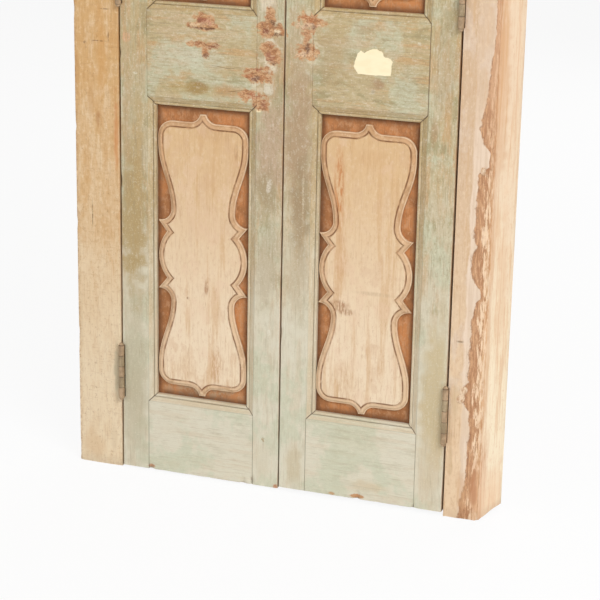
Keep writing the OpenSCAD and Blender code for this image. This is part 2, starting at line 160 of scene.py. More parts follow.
# Marks on the faces: place across and up, half width and half height, colour as seen, strength
STAINS = [
    (-188, 846, 24, 13, (146, 108, 58), 0.85),
    (-205, 842, 75, 18, (184, 158, 100), 0.55),
    (-112, 845, 42, 15, (190, 146, 96), 0.65),
    (-300, 985, 16, 42, (146, 128, 86), 0.45),
    (-344, 938, 12, 13, (224, 172, 132), 0.65),
    (-200, 905, 90, 26, (206, 204, 180), 0.55),
    (-150, 955, 100, 16, (204, 196, 164), 0.35),
    (-30, 900, 34, 140, (188, 164, 130), 0.6),
    (-40, 1040, 22, 40, (224, 208, 184), 0.7),
    (-30, 720, 36, 120, (190, 164, 136), 0.85),
    (-330, 560, 34, 190, (180, 154, 106), 0.9),
    (-322, 820, 26, 120, (190, 168, 126), 0.5),
    (-34, 640, 22, 60, (160, 146, 108), 0.55),
    (-30, 500, 34, 110, (188, 172, 144), 0.6),
    (-345, 800, 10, 160, (190, 158, 118), 0.45),
    (-318, 720, 10, 130, (190, 160, 110), 0.5),
    (32, 930, 32, 120, (188, 164, 130), 0.65),
    (32, 760, 36, 140, (180, 152, 120), 0.85),
    (330, 940, 30, 130, (186, 174, 146), 0.5),
    (40, 610, 24, 120, (158, 134, 100), 0.65),
    (30, 470, 30, 90, (190, 172, 142), 0.5),
    (165, 986, 24, 10, (168, 136, 92), 0.5),
    (196, 883, 16, 12, (164, 124, 88), 0.6),
    (185, 868, 6, 5, (164, 162, 152), 0.5),
    (100, 925, 44, 64, (180, 154, 112), 0.65),
    (262, 890, 34, 60, (190, 188, 162), 0.4),
    (312, 800, 10, 30, (182, 140, 100), 0.5),
    (325, 700, 20, 60, (190, 168, 120), 0.35),
    (345, 420, 9, 110, (196, 176, 134), 0.4),
    (348, 150, 14, 60, (206, 184, 140), 0.5),
    (-40, 60, 26, 46, (206, 194, 166), 0.4),
    (-330, 260, 34, 150, (194, 184, 156), 0.65),
    (-330, 120, 36, 130, (192, 182, 154), 0.6),
    (332, 120, 36, 130, (206, 186, 152), 0.5),
    (330, 270, 34, 150, (204, 186, 148), 0.85),
    (34, 60, 24, 50, (196, 178, 142), 0.55),
    (200, 40, 60, 14, (206, 182, 142), 0.5),
    (180, 120, 90, 20, (222, 216, 194), 0.4),
]
CHIPS = [
    (-325, 866, 8, 4, (226, 220, 198), 0.5),
    (-55, 814, 9, 7, (250, 234, 192), 1.0),
    (-32, 902, 16, 22, (222, 208, 182), 0.6),
    (-66, 862, 12, 7, (216, 210, 188), 0.55),
    (-32, 950, 14, 12, (218, 207, 182), 0.75),
    (-36, 856, 14, 20, (216, 206, 184), 0.65),
    (-120, 868, 9, 3, (224, 212, 176), 0.45),
    (276, 968, 7, 6, (222, 214, 190), 0.55),
    (-30, 660, 8, 20, (222, 212, 194), 0.55),
    (44, 640, 4, 90, (214, 200, 172), 0.5),
    (-25, 345, 7, 16, (232, 228, 212), 0.5),
    (160, 1013, 55, 2, (216, 206, 178), 0.5),
    (-292, 10, 12, 5, (194, 146, 112), 0.65),
    (-6, 8, 8, 10, (190, 140, 104), 0.7),
    (175, 14, 18, 5, (196, 148, 106), 0.9),
    (120, 12, 10, 4, (200, 160, 120), 0.7),
]
# Torn places where locks and straps were pulled off
SCARS = [
    (-176, 984, 26, 12),
    (-176, 972, 35, 7),
    (-168, 934, 38, 9),
    (-171, 921, 9, 14),
    (-28, 974, 34, 15),
    (-31, 998, 11, 18),
    (-32, 934, 22, 15),
    (-24, 920, 16, 17),
    (-57, 884, 27, 18),
    (-34, 876, 11, 10),
    (-80, 879, 16, 5),
    (-66, 837, 25, 13),
    (-50, 826, 20, 15),
    (50, 996, 30, 17),
    (47, 966, 13, 38),
    (46, 934, 27, 15),
]
# Cuts, bruises and lifted splinters inside the torn places; the dark cuts are painted shade
TEARS = [
    (-176, 967, 33, 3.4, (96, 58, 38), 1.0),
    (-178, 984, 14, 7, (164, 92, 66), 0.9),
    (-194, 974, 10, 4, (226, 196, 156), 1.0),
    (-158, 980, 12, 8, (206, 152, 122), 0.9),
    (-148, 933, 16, 6, (140, 84, 54), 1.0),
    (-186, 936, 10, 4, (170, 112, 76), 0.8),
    (-170, 914, 5, 6, (124, 78, 52), 0.9),
    (-40, 973, 9, 6, (130, 64, 40), 1.0),
    (-25, 988, 9, 5, (116, 76, 48), 0.9),
    (-14, 964, 12, 5, (104, 74, 48), 1.0),
    (-14, 973, 11, 4, (234, 214, 182), 1.0),
    (-32, 922, 10, 12, (164, 104, 80), 0.8),
    (-24, 907, 9, 5, (108, 74, 50), 1.0),
    (-60, 875, 10, 7, (126, 88, 72), 1.0),
    (-57, 894, 18, 6, (166, 98, 68), 0.9),
    (-84, 878, 14, 5, (180, 108, 62), 1.0),
    (-70, 839, 16, 7, (176, 106, 70), 0.9),
    (-46, 824, 12, 9, (170, 112, 84), 0.8),
    (50, 1003, 26, 9, (182, 112, 66), 0.9),
    (48, 987, 26, 6, (224, 196, 166), 1.0),
    (62, 984, 14, 4, (106, 66, 46), 1.0),
    (47, 966, 11, 32, (192, 140, 100), 0.8),
    (47, 940, 4, 9, (112, 78, 60), 1.0),
    (40, 929, 22, 5, (224, 192, 158), 0.9),
    (46, 920, 11, 6, (210, 146, 84), 1.0),
]
# Hairline cracks along the lock rails: height, then from and to across
CRACKS = {"left": [(893, -172, -84), (846, -128, -82)], "right": []}
# Chips knocked out of the arrises: place across and up, half length, depth
NICKS = [
    (-362, 905, 10, 2.5),
    (-359, 640, 14, 1.5),
    (-3, 560, 12, 1.5),
    (3, 350, 16, 1.2),
    (-59, 14, 10, 2.5),
    (175, 8, 22, 4.0),
    (-292, 6, 14, 4.0),
    (-80, 6, 12, 2.5),
    (300, 8, 10, 2.0),
]
# Edge of the paper scrap: place across and up
PAPER_EDGE = [
    (144, 916), (147, 930), (152, 942), (158, 947), (164, 943), (172, 948), (182, 952), (190, 953),
    (196, 949), (201, 948), (204, 941), (207, 937), (213, 937), (219, 934), (223, 930), (220, 921),
    (221, 911), (220, 902), (190, 901), (153, 901), (148, 908),
]
# Where the paint of the right jamb ends: height, then place across the front
FLAKE_EDGE = [
    (0, 394), (40, 393), (80, 404), (200, 408), (235, 405), (252, 393), (284, 395), (295, 401),
    (440, 404), (466, 410), (473, 420), (490, 420), (503, 406), (522, 398), (558, 397), (578, 409),
    (597, 400), (724, 403), (740, 425), (769, 425), (782, 413), (812, 403), (865, 413), (998, 426),
    (1300, 418), (1500, 408), (1700, 414), (1900, 404), (2130, 412),
]
# Runs of that edge on which the paint has curled up: from and to
FLAKE_RUNS = [(232, 330), (470, 505), (728, 790)]
# Stains on the jambs, as on the leaves
JAMB_STAINS = [
    (-368, 740, 6, 90, (206, 140, 84), 0.7),
    (-400, 900, 14, 120, (208, 156, 92), 0.5),
    (-440, 960, 16, 60, (204, 160, 104), 0.4),
    (-425, 800, 10, 50, (196, 146, 88), 0.5),
    (-409, 762, 6, 20, (176, 124, 74), 0.55),
    (-418, 921, 5, 3, (150, 104, 70), 0.7),
    # A grey-green smudge beside the left lower hinge: a stain with the hinge's shadow painted in.
    (-372, 220, 9, 80, (176, 168, 140), 0.6),
    (-380, 60, 10, 50, (206, 182, 148), 0.4),
    (-430, 40, 30, 40, (214, 178, 134), 0.5),
    (-455, 300, 6, 160, (206, 180, 140), 0.35),
    (382, 381, 7, 2.2, (150, 116, 84), 0.8),
    (378, 250, 10, 60, (214, 186, 146), 0.5),
    (372, 120, 7, 60, (202, 170, 128), 0.5),
    (396, 60, 10, 50, (210, 166, 124), 0.5),
    (450, 10, 34, 120, (242, 202, 164), 0.55),
    (440, 900, 10, 200, (222, 176, 132), 0.6),
    (450, 500, 8, 200, (232, 190, 148), 0.5),
    (424, 70, 9, 60, (194, 138, 98), 0.75),
]
# Fine cracks in the left jamb's paint: place across and up, half length, half width
JAMB_CRACKS = [
    (-408, 926, 24, 1.8),
    (-437, 921, 5, 4),
    (-392, 992, 16, 1.5),
    (-384, 936, 2, 14),
    (-425, 560, 2, 40),
]
# Marks on the fields: place across and up, half width and half height, colour as seen, strength
WOOD_MARKS = [
    (118, 660, 15, 120, (200, 134, 80), 0.95),
    (126, 520, 18, 90, (204, 156, 108), 0.5),
    (122, 422, 30, 16, (168, 116, 74), 0.8),
    (140, 410, 22, 10, (160, 108, 68), 0.8),
    (140, 250, 40, 70, (204, 162, 116), 0.5),
    (216, 300, 10, 60, (208, 164, 116), 0.5),
    (200, 455, 60, 6, (206, 176, 140), 0.6),
    (-104, 720, 6, 22, (176, 126, 84), 0.8),
    (-168, 425, 7, 22, (170, 118, 80), 0.8),
    (-210, 398, 4, 4, (150, 104, 70), 0.9),
    (-145, 250, 20, 60, (198, 150, 104), 0.7),
    (-215, 240, 30, 50, (210, 172, 130), 0.5),
    (-170, 560, 60, 50, (226, 192, 158), 0.6),
    (-150, 752, 60, 22, (204, 162, 120), 0.55),
    (-110, 690, 14, 60, (206, 164, 122), 0.5),
    (-160, 660, 24, 70, (212, 172, 128), 0.45),
    (190, 730, 50, 26, (212, 170, 124), 0.5),
]


# Cartouche: the same outline as the solid's, with more points
TIP_H = 18 * MM
TIP_W = 29 * MM
TIP_FLAT = 6.5 * MM
SHOULDER_R = 32 * MM
FLANK_H = 18 * MM
WAIST_IN = 29 * MM
EAR_R = 26 * MM
NOTCH_IN = 19.5 * MM
EAR_RISE = 24 * MM
LOBE_H = 50 * MM
LOBE_IN = 1 * MM
# Steps along the tip's hollow, the shoulder, the waist, the ear's hollow and the lobe
TIP_STEPS = 13
SHOULDER_STEPS = 14
WAIST_STEPS = 24
EAR_STEPS = 16
LOBE_STEPS = 18
WAIST_END = TIP_STEPS + SHOULDER_STEPS + WAIST_STEPS + 2
BORDER_W = 11 * MM
# Section of the border: inset in border widths, height in shares of the relief, and how dark it is painted:
# shade at its foot, in its hollow and its groove, with soiling
BORDER = [
    (0, 0, 0.9), (0, 0.3, 0.4), (0.01, 0.48, 0.05), (0.04, 0.56, 0), (0.1, 0.6, 0.05),
    (0.17, 0.605, 0.3), (0.22, 0.6, 0.45), (0.3, 0.68, 0.3), (0.4, 0.79, 0.12), (0.5, 0.88, 0.05),
    (0.6, 0.945, 0), (0.7, 0.985, 0), (0.8, 1, 0.05), (0.86, 0.97, 0.2), (0.92, 0.88, 0.5),
    (0.97, 0.76, 0.8), (1.02, 0.66, 1), (1.07, 0.68, 1), (1.13, 0.8, 0.75), (1.19, 0.89, 0.4),
    (1.25, 0.911, 0.12), (1.34, 0.911, 0),
]


def blot(points, x, z, wide, high, seed, rag=0.45, pitch=0.018):
    """1 in the middle of a ragged blot on a face and 0 outside it."""
    away = np.hypot((points[..., 0] / MM - x) / wide, (points[..., 2] / MM - z) / high)
    return smooth(1.35 - away + rag * ragged(points, (pitch, 0.05, pitch), seed))


def blots(points, marks, front, rag=0.45, pitch=0.018):
    """The marks laid over each other as one colour with its strength in the fourth place."""
    colour = np.zeros(points.shape[:-1] + (3,))
    strength = np.zeros(points.shape[:-1])
    for seed, (x, z, wide, high, tone, amount) in enumerate(marks):
        share = amount * blot(points, x, z, wide, high, seed, rag, pitch) * front
        total = share + strength * (1 - share)
        mixed = share[..., None] * np.array(linear(*tone)) + (strength * (1 - share))[..., None] * colour
        colour = np.where(total[..., None] > 1e-6, mixed / np.maximum(total, 1e-6)[..., None], colour)
        strength = total
    return np.concatenate([colour, strength[..., None]], axis=-1)


def scars(points, front):
    """How torn a face is, and how much pale filler lies round the torn places."""
    torn = np.zeros(points.shape[:-1])
    rim = np.zeros(points.shape[:-1])
    for seed, (x, z, wide, high) in enumerate(SCARS):
        torn = np.maximum(torn, blot(points, x, z, wide, high, 40 + seed, 0.9, 0.012))
        rim = np.maximum(rim, blot(points, x, z + 2, wide * 1.25, high * 1.5, 60 + seed, 0.9))
    return torn * front, rim * front * (1 - torn)


def moulding_profile():
    """Across the moulding and down from the face: an ogee, a quirk and a bead."""
    ogee = [
        (OGEE_W * t, QUIRK_D + (OGEE_D - QUIRK_D) * (1 - math.cos(math.pi * t)) / 2)
        for t in np.linspace(0, 1, 8)
    ]
    r = BEAD_W / 2
    bead = [
        (MOULDING_W - r + r * math.cos(t), MOULDING_D + r * math.sin(t))
        for t in np.linspace(math.pi, 2 * math.pi, 9)
    ]
    return ogee + bead


def steps(start, end, pitch):
    """Places from start to end about a pitch apart, with both ends."""
    return np.linspace(start, end, max(1, round(abs(end - start) / pitch)) + 1)


def joint_steps(start, end, pitch):
    """Steps between two joints, with narrow ones beside each."""
    inner = steps(start, end, pitch)[1:-1]
    first = [start, start + JOINT_W, start + 2 * JOINT_W]
    last = [end - 2 * JOINT_W, end - JOINT_W, end]
    return np.array([*first, *inner, *last])


def weld(mesh, sharp=34):
    """Merges doubled points, turns every face outwards and smooths what isn't an arris."""
    work = bmesh.new()
    work.from_mesh(mesh)
    bmesh.ops.remove_doubles(work, verts=work.verts, dist=WELD)
    bmesh.ops.dissolve_degenerate(work, edges=work.edges, dist=WELD / 4)
    bmesh.ops.recalc_face_normals(work, faces=work.faces)
    work.to_mesh(mesh)
    work.free()
    mesh.shade_smooth()
    mesh.set_sharp_from_angle(angle=math.radians(sharp))
    return mesh


def skin(name, grid, marks, hub_row=0):
    """A closed board from rows of section points, with its marks on the points and its ends closed.

    An end is one flat face, or a fan round a hub that lies some rows inside where the end is mitred.
    """
    rows, columns = grid.shape[:2]
    index = np.arange(rows * columns).reshape(rows, columns)
    after = np.roll(index, -1, axis=1)
    faces = np.stack([index[:-1], after[:-1], after[1:], index[1:]], -1).reshape(-1, 4).tolist()
    points = grid.reshape(-1, 3).tolist()
    spare = 0
    if hub_row:
        spare = 2
        points += [grid[hub_row].mean(axis=0).tolist(), grid[-1 - hub_row].mean(axis=0).tolist()]
        first, last = rows * columns, rows * columns + 1
        faces += [(after[0, j], index[0, j], first) for j in range(columns)]
        faces += [(index[-1, j], after[-1, j], last) for j in range(columns)]
    else:
        faces += [index[0][::-1].tolist(), index[-1].tolist()]
    mesh = bpy.data.meshes.new(name)
    mesh.from_pydata(points, [], faces)
    for mark, values in marks.items():
        tinted = values.ndim == 3
        full = values if tinted else np.broadcast_to(values, (rows, columns))
        flat = full.reshape(rows * columns, -1)
        flat = np.concatenate([flat, np.zeros((spare, flat.shape[1]))]).astype(np.float32).ravel()
        if tinted:
            mesh.attributes.new(mark, "FLOAT_COLOR", "POINT").data.foreach_set("color", flat)
        else:
            mesh.attributes.new(mark, "FLOAT", "POINT").data.foreach_set("value", flat)
    return weld(mesh)


def piece(name, mesh, finish, body, slot, *nodes):
    """Puts a finished mesh on its body, in place of the nodes that it stands for."""
    thing = bpy.data.objects.new(name, mesh)
    bpy.context.scene.collection.objects.link(thing)
    mesh.materials.clear()
    mesh.materials.append(finish)
    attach(thing, body)
    if nodes:
        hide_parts(*nodes)
    return thing


class Leaf:
    """Where the members of one leaf lie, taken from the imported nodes."""

    def __init__(self, side):
        self.side = side
        self.sign = SIDES[side]
        self.body = f"{side}_leaf"
        self.inner_x, sight_in = reach(f"{side}_meeting_stile")
        sight_out, self.outer_x = reach(f"{side}_hinge_stile")
        self.flat = (sight_in - MOULDING_W, sight_out + MOULDING_W)
        self.sight = (sight_in, sight_out)
        self.foot, self.top = span(f"{side}_hinge_stile", 2)
        lower_z0 = span(f"{side}_bottom_rail", 2)[1] - MOULDING_W
        lock_low, lock_high = span(f"{side}_lock_rail", 2)
        upper_z1 = span(f"{side}_top_rail", 2)[0] + MOULDING_W
        self.panels = {
            "lower": (lower_z0, lock_low + MOULDING_W),
            "upper": (lock_high - MOULDING_W, upper_z1),
        }
        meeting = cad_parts[f"{side}_meeting_stile"].data
        back_edge = min(abs(v.co.x) for v in meeting.vertices if v.co.y > BACK_Y - WELD)
        self.slope = back_edge - self.inner_x
        self.heights = (self.foot, *self.panels["lower"], *self.panels["upper"], self.top)

    def seats(self):
        """The hinge recesses in the edge of the hinge stile: from and to, and their depth."""
        plates = [f"{self.side}_{h}_leaf_plate" for h in HINGES]
        return [(*span(p, 2), self.outer_x - reach(p)[0]) for p in plates]


LEAVES = {side: Leaf(side) for side in SIDES}


def board_depth(grid, front, arris):
    """How far the hand-planed face has worn back, with rubbed arrises, chips and torn places."""
    depth = PLANE_WAVES * (1 + waver(grid, (0.05, 0.05, 0.16), 3)) * front
    depth += PLANE_FUZZ * (1 + waver(grid, (0.006, 0.006, 0.012), 4)) * front
    rub = np.maximum(0, waver(grid, (0.02, 0.02, 0.035), 5)) ** 2
    depth += arris * (0.05 + 0.7 * rub) * MM
    torn, rim = scars(grid, front)
    depth += torn * (0.9 + 1.3 * ragged(grid, (0.008, 0.05, 0.006), 6)) * MM
    for x, z, half, deep in NICKS:
        away = np.hypot((grid[..., 0] / MM - x) / 7, (grid[..., 2] / MM - z) / half)
        knocked = smooth(1.2 - away + 0.4 * ragged(grid, 0.006, 8))
        depth += deep * MM * knocked * np.maximum(front, arris)
    return np.maximum(depth, 0), torn, rim


def fading(grid):
    """Where paint has filled the joints, mostly at the lock rails, and where they have opened again."""
    filled = smooth(1.3 - np.abs(grid[..., 2] - FILLED_Z) / FILLED_HALF) * (grid[..., 0] < FILLED_TO)
    low = smooth(1 - grid[..., 2] / OPENED_H)
    uneven = 0.5 * waver(grid, (0.03, 0.03, 0.05), 19)
    return np.clip(0.75 + uneven - 0.5 * filled + 0.35 * low, 0.12, 1)


def paint_marks(grid, front, grime_and_shade, mitre, worn, torn, rim, mould):
    """What the leaf paint reads on a stile or rail: soiling, and painted shade in the creases and the groove;
    mitres stay grimy where other joints are filled.
    """
    return {
        "grime_and_shade": np.maximum(np.clip(grime_and_shade, 0, 1) * fading(grid), mitre),
        "worn": worn,
        "torn": torn,
        "rim": rim,
        "stain": blots(grid, STAINS, front),
        "chip": blots(grid, CHIPS, front),
        "tear": blots(grid, TEARS, front, 1.1, 0.008),
        "mould": mould,
    }


def stile_section(width, slope):
    """Round a stile: in from its free edge, across its moulding, below the face, and the way inwards."""
    depths = (LEAF_T, SEAT_REACH, SEAT_REACH - SEAT_LIP, 20 * MM, 10 * MM, 4 * MM, ARRIS)
    edge = [(slope * d / LEAF_T, 0, d, 1, 0) for d in depths]
    arris = [(0.3 * ARRIS, 0, 0.3 * ARRIS, 0.7, 0.7)]
    face = [(u, 0, 0, 0, 1) for u in steps(ARRIS, width - JOINT_W, FINE_STEP)]
    moulding = [(width, a, d, 0, 1) for a, d in moulding_profile()]
    wall = [(width, MOULDING_W, d, -1, 0) for d in (GROOVE_D, LEAF_T)]
    back = [(u, 0, LEAF_T, 0, -1) for u in (width, width * 0.66, width * 0.33)]
    return np.array(edge + arris + face + moulding + wall + back)


def stile_rows(heights, seats):
    """Rows up a stile: zone, height, order at that height, and the depth of a hinge seat there."""
    rows = []
    for zone, (z0, z1) in enumerate(zip(heights, heights[1:])):
        scarred = SCAR_ZONE[0] < (z0 + z1) / 2 < SCAR_ZONE[1]
        for z in joint_steps(z0, z1, FINE_STEP if scarred else PLAIN_STEP):
            cut = [deep for low, high, deep in seats if low < z < high]
            rows.append((zone, z, 0, cut[0] if cut else 0))
        for low, high, deep in seats:
            ends = [(low, 0, 0), (low, 1, deep), (high, 0, deep), (high, 1, 0)]
            rows += [(zone, z, order, cut) for z, order, cut in ends if z0 < z < z1]
    return sorted(rows)


def stile(leaf, kind, finish):
    """A stile with its moulded edges beside the panels, mitred at their ends."""
    meeting = kind == "meeting"
    free_x = leaf.inner_x if meeting else leaf.outer_x
    way = 1 if meeting else -1
    width = abs(leaf.flat[0 if meeting else 1] - free_x)
    u, a, d, push_u, push_d = stile_section(width, leaf.slope if meeting else 0).T
    rows = stile_rows(leaf.heights, [] if meeting else leaf.seats())
    grid = np.zeros((len(rows), len(u), 3))
    grime_and_shade, mitre, mould = np.zeros((3, len(rows), len(u)))
    shoulder = (u > width - WELD) & (a == 0)
    joint = (u > width - WELD) & (d < FRONT_D)
    for r, (zone, z, _, seat) in enumerate(rows):
        z0, z1 = leaf.heights[zone], leaf.heights[zone + 1]
        moulded = zone % 2 == 1
        from_end = min(z - z0, z1 - z)
        across = np.where(d < SEAT_REACH, np.maximum(u, seat), u) + a * moulded
        along = z0 + a + (z - z0) * (1 - 2 * a / (z1 - z0)) if moulded else np.full(len(u), z)
        deep = d + MITRE_CUT * (moulded and from_end == 0) * (a > 0) * (d < FRONT_D)
        grid[r] = np.stack([leaf.sign * (free_x + way * across), FACE_Y + deep, along], -1)
        if moulded:
            # Painted shade in the moulding's creases: the step at its outer edge and the quirk between ogee
            # and bead.
            grime_and_shade[r] = 0.4 * shoulder + 0.75 * (np.abs(a - OGEE_W) < WELD)
            mitre[r] = joint * (from_end < 1.5 * JOINT_W)
            mould[r] = a > 0
        else:
            grime_and_shade[r] = joint
    edge = push_u > 0.9
    # Painted shade on the wall under the bead, down in the panel groove, and faintly on the free edge in the
    # gap.
    grime_and_shade += 0.55 * (a > MOULDING_W - WELD) * (d > MOULDING_D) * (d < LEAF_T) + 0.05 * edge
    front = 1.0 * (push_d > 0)
    arris = 1.0 * (u < ARRIS) * (d <= ARRIS)
    depth, torn, rim = board_depth(grid, front, arris)
    marks = paint_marks(grid, front, grime_and_shade, mitre, arris + 0.9 * edge, torn, rim, mould)
    grid[..., 0] += leaf.sign * way * push_u * depth
    grid[..., 1] += push_d * depth
    node = f"{leaf.side}_{kind}_stile"
    return piece(f"{node}_worn", skin(node, grid, marks), finish, leaf.body, "leaf_paint", node)


def rail_section(z0, z1, above, below, cracks):
    """Round a rail: height, across a moulding with its sign, below the face, and the way inwards."""
    profile = moulding_profile()
    if below:
        lower = [(z0, -MOULDING_W, LEAF_T, 1, 0), (z0, -MOULDING_W, GROOVE_D, 1, 0)]
        lower += [(z0, -a, d, 0, 1) for a, d in reversed(profile)]
    else:
        lower = [(z0, 0, d, 1, 0) for d in (LEAF_T, 0.5 * LEAF_T, ARRIS)]
        lower += [(z0 + 0.3 * ARRIS, 0, 0.3 * ARRIS, 0.7, 0.7)]
    first = z0 + (JOINT_W if below else ARRIS)
    last = z1 - (JOINT_W if above else ARRIS)
    heights = set(steps(first, last, FINE_STEP))
    for z in cracks:
        heights = {h for h in heights if abs(h - z) > 2 * JOINT_W} | {z - JOINT_W, z, z + JOINT_W}
    face = [(z, 0, 0, 0, 1) for z in sorted(heights)]
    if above:
        upper = [(z1, a, d, 0, 1) for a, d in profile]
        upper += [(z1, MOULDING_W, GROOVE_D, -1, 0), (z1, MOULDING_W, LEAF_T, -1, 0)]
    else:
        upper = [(z1 - 0.3 * ARRIS, 0, 0.3 * ARRIS, -0.7, 0.7)]
        upper += [(z1, 0, d, -1, 0) for d in (ARRIS, LEAF_T)]
    shares = [0] * above + [0.33, 0.66] + [1] * below
    back = [(z1 + (z0 - z1) * t, 0, LEAF_T, 0, -1) for t in shares]
    return np.array(lower + face + upper + back)


def rail(leaf, kind, z0, z1, above, below, finish):
    """A rail between the stiles, with its butt joints cut a little and its mouldings mitred."""
    cracks = CRACKS[leaf.side] if kind == "lock" else []
    base, a, d, push_z, push_d = rail_section(z0, z1, above, below, [z * MM for z, _, _ in cracks]).T
    x0, x1 = leaf.flat
    rows = joint_steps(x0, x1, FINE_STEP if kind == "lock" else 1.5 * FINE_STEP)[:, None]
    from_end = np.minimum(rows - x0, x1 - rows)
    wide = np.abs(a)
    across = x0 + wide + (rows - x0) * (1 - 2 * wide / (x1 - x0))
    front = 1.0 * (push_d > 0)
    deep = d + MITRE_CUT * (from_end == 0) * front
    grid = np.stack([leaf.sign * across, FACE_Y + deep, np.broadcast_to(base + a, across.shape)], -1)
    sharp = ((not below) & (base < base.min() + ARRIS)) | ((not above) & (base > base.max() - ARRIS))
    arris = 1.0 * sharp * (d <= ARRIS)
    depth, torn, rim = board_depth(grid, front, arris)
    shoulder = np.isin(base, (z0, z1)) & (a == 0) & (below | above)
    # Soiling in the butt joints; painted shade in the moulding creases and on the wall under the bead.
    grime_and_shade = 1.0 * (from_end == 0) * (d < FRONT_D) + 0.4 * shoulder + 0.75 * (np.abs(wide - OGEE_W) < WELD)
    grime_and_shade = grime_and_shade + 0.55 * (wide > MOULDING_W - WELD) * (d > MOULDING_D) * (d < LEAF_T)
    opened = (rows > x1 - 1.5 * JOINT_W) & ((leaf.side, kind) == OPEN_JOINT)
    mitre = np.maximum(1.0 * (from_end < 1.5 * JOINT_W) * (wide > 0), 0.8 * opened) * (d < FRONT_D)
    for z, start, end in cracks:
        from_middle = np.abs(leaf.sign * across / MM - (start + end) / 2) / (abs(end - start) / 2)
        gap = (np.abs(base - z * MM) < WELD) * (d == 0) * smooth(1.2 - 1.1 * from_middle)
        depth = depth + gap * CRACK_D
        grime_and_shade = grime_and_shade + gap
        near = (np.abs(base - z * MM) < 1.5 * JOINT_W) * (d == 0)
        grid[..., 2] += near * CRACK_WANDER * waver(grid * (1, 0, 0), 0.03, 9)
    marks = paint_marks(grid, front, grime_and_shade, mitre, arris, torn, rim, 1.0 * (wide > 0))
    grid[..., 1] += push_d * depth
    grid[..., 2] += push_z * depth * (arris > 0)
    node = f"{leaf.side}_{kind}_rail"
    return piece(f"{node}_worn", skin(node, grid, marks, 6), finish, leaf.body, "leaf_paint", node)


def panel(leaf, place, finish):
    """A panel in its grooves, with a ground that was cut back by hand."""
    node = f"{leaf.side}_{place}_panel"
    low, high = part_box(node)
    x0, x1 = reach(node)
    front = [(x, low.y, 1) for x in steps(x0, x1, PLAIN_STEP)]
    back = [(x, high.y, 0) for x in steps(x1, x0, 40 * MM)]
    x, y, cut = np.array(front + back).T
    rows = steps(low.z, high.z, PLAIN_STEP)[:, None]
    flat = np.broadcast_to
    size = (len(rows), len(x))
    grid = np.stack([flat(leaf.sign * x, size), flat(y, size), flat(rows, size)], -1).copy()
    z0, z1 = leaf.panels[place]
    side_gap = np.minimum(x - leaf.sight[0], leaf.sight[1] - x)
    end_gap = np.minimum(rows - z0, z1 - rows) - MOULDING_W
    # Painted shade with soiling on the ground along the mouldings.
    grime_and_shade = smooth(1 - np.minimum(side_gap, end_gap) / (16 * MM)) * cut
    grid[..., 1] += cut * 0.35 * MM * (1 + waver(grid, (0.02, 0.05, 0.05), 11))
    return piece(f"{node}_cut", skin(node, grid, {"grime_and_shade": grime_and_shade}), finish, leaf.body, "panel_ground", node)


def arc(centre, r, start, end, count):
    turns = np.linspace(start, end, count + 1)
    return np.array(centre) + r * np.stack([np.cos(turns), np.sin(turns)], -1)


def ray_circle(p, u, centre, r, sign):
    """Where a line from p along u meets a circle, on the side that the sign picks."""
    q = p - centre
    b = q @ u
    return p + (sign * math.sqrt(b * b - q @ q + r * r) - b) * u


def turn_of(v):
    return math.atan2(v[1], v[0])


def tip_edge(hh, d):
    """The hollow beside a tip, inset by d: from its blunt end, or from a point if no end is left."""
    r = ((TIP_W - TIP_FLAT) ** 2 + TIP_H**2) / (2 * TIP_H)
    centre = (TIP_W, hh - TIP_H + r)
    if TIP_W > math.sqrt(TIP_H * (2 * (r + d) - TIP_H)):
        hollow = arc(centre, r + d, math.pi + math.asin(1 - TIP_H / (r + d)), 1.5 * math.pi, TIP_STEPS - 1)
        return np.concatenate([[[0, hh - d]], hollow])
    return arc(centre, r + d, math.pi + math.acos(TIP_W / (r + d)), 1.5 * math.pi, TIP_STEPS)


def quarter(hw, hh, k, d):
    """A quarter of the cartouche's edge, inset by d, from its upper tip to the middle of its right side."""
    tip = tip_edge(hh, d)
    shoulder_z = hh - TIP_H - SHOULDER_R
    shoulder = arc((hw - SHOULDER_R, shoulder_z), SHOULDER_R - d, math.pi / 2, 0, SHOULDER_STEPS)
    ear = np.array([hw, (LOBE_H + EAR_RISE) * k])
    notch = np.array([hw - NOTCH_IN, LOBE_H * k])
    ear_c = np.array([hw - WAIST_IN + EAR_R, ear[1] + math.sqrt(EAR_R**2 - (WAIST_IN - EAR_R) ** 2)])
    fall = (notch - ear) / np.linalg.norm(notch - ear)
    inset = ear + d * np.array([fall[1], -fall[0]])
    ear_tip = ray_circle(inset, fall, ear_c, EAR_R + d, 1)
    lobe_out = NOTCH_IN - LOBE_IN
    lobe_r = (lobe_out**2 + (LOBE_H * k) ** 2) / (2 * lobe_out)
    lobe_c = np.array([hw - LOBE_IN - lobe_r, 0])
    notch_tip = ray_circle(inset, fall, lobe_c, lobe_r - d, -1)
    flank_z = shoulder_z - FLANK_H * k
    sway = flank_z - ear_c[1]
    t = np.linspace(0, 1, WAIST_STEPS + 1)
    slope = math.pi / 2 * WAIST_IN * np.sin(math.pi * t) / sway
    out = np.stack([np.ones_like(t), -slope], -1) / np.hypot(1, slope)[:, None]
    swing = np.stack([hw - WAIST_IN * (1 - np.cos(math.pi * t)) / 2, flank_z - sway * t], -1) - d * out
    hollow = arc(ear_c, EAR_R + d, math.pi, 2 * math.pi + turn_of(ear_tip - ear_c), EAR_STEPS)[1:]
    lobe = arc(lobe_c, lobe_r - d, turn_of(notch_tip - lobe_c), 0, LOBE_STEPS)
    return np.concatenate([tip, shoulder, swing, hollow, lobe])


def whole_edge(hw, hh, k, d):
    """The whole edge, inset by d, clockwise from its upper tip."""
    q = quarter(hw, hh, k, d)
    right = np.concatenate([q, (q * (1, -1))[-2::-1]])
    return np.concatenate([right, (right * (-1, 1))[-2:0:-1]])


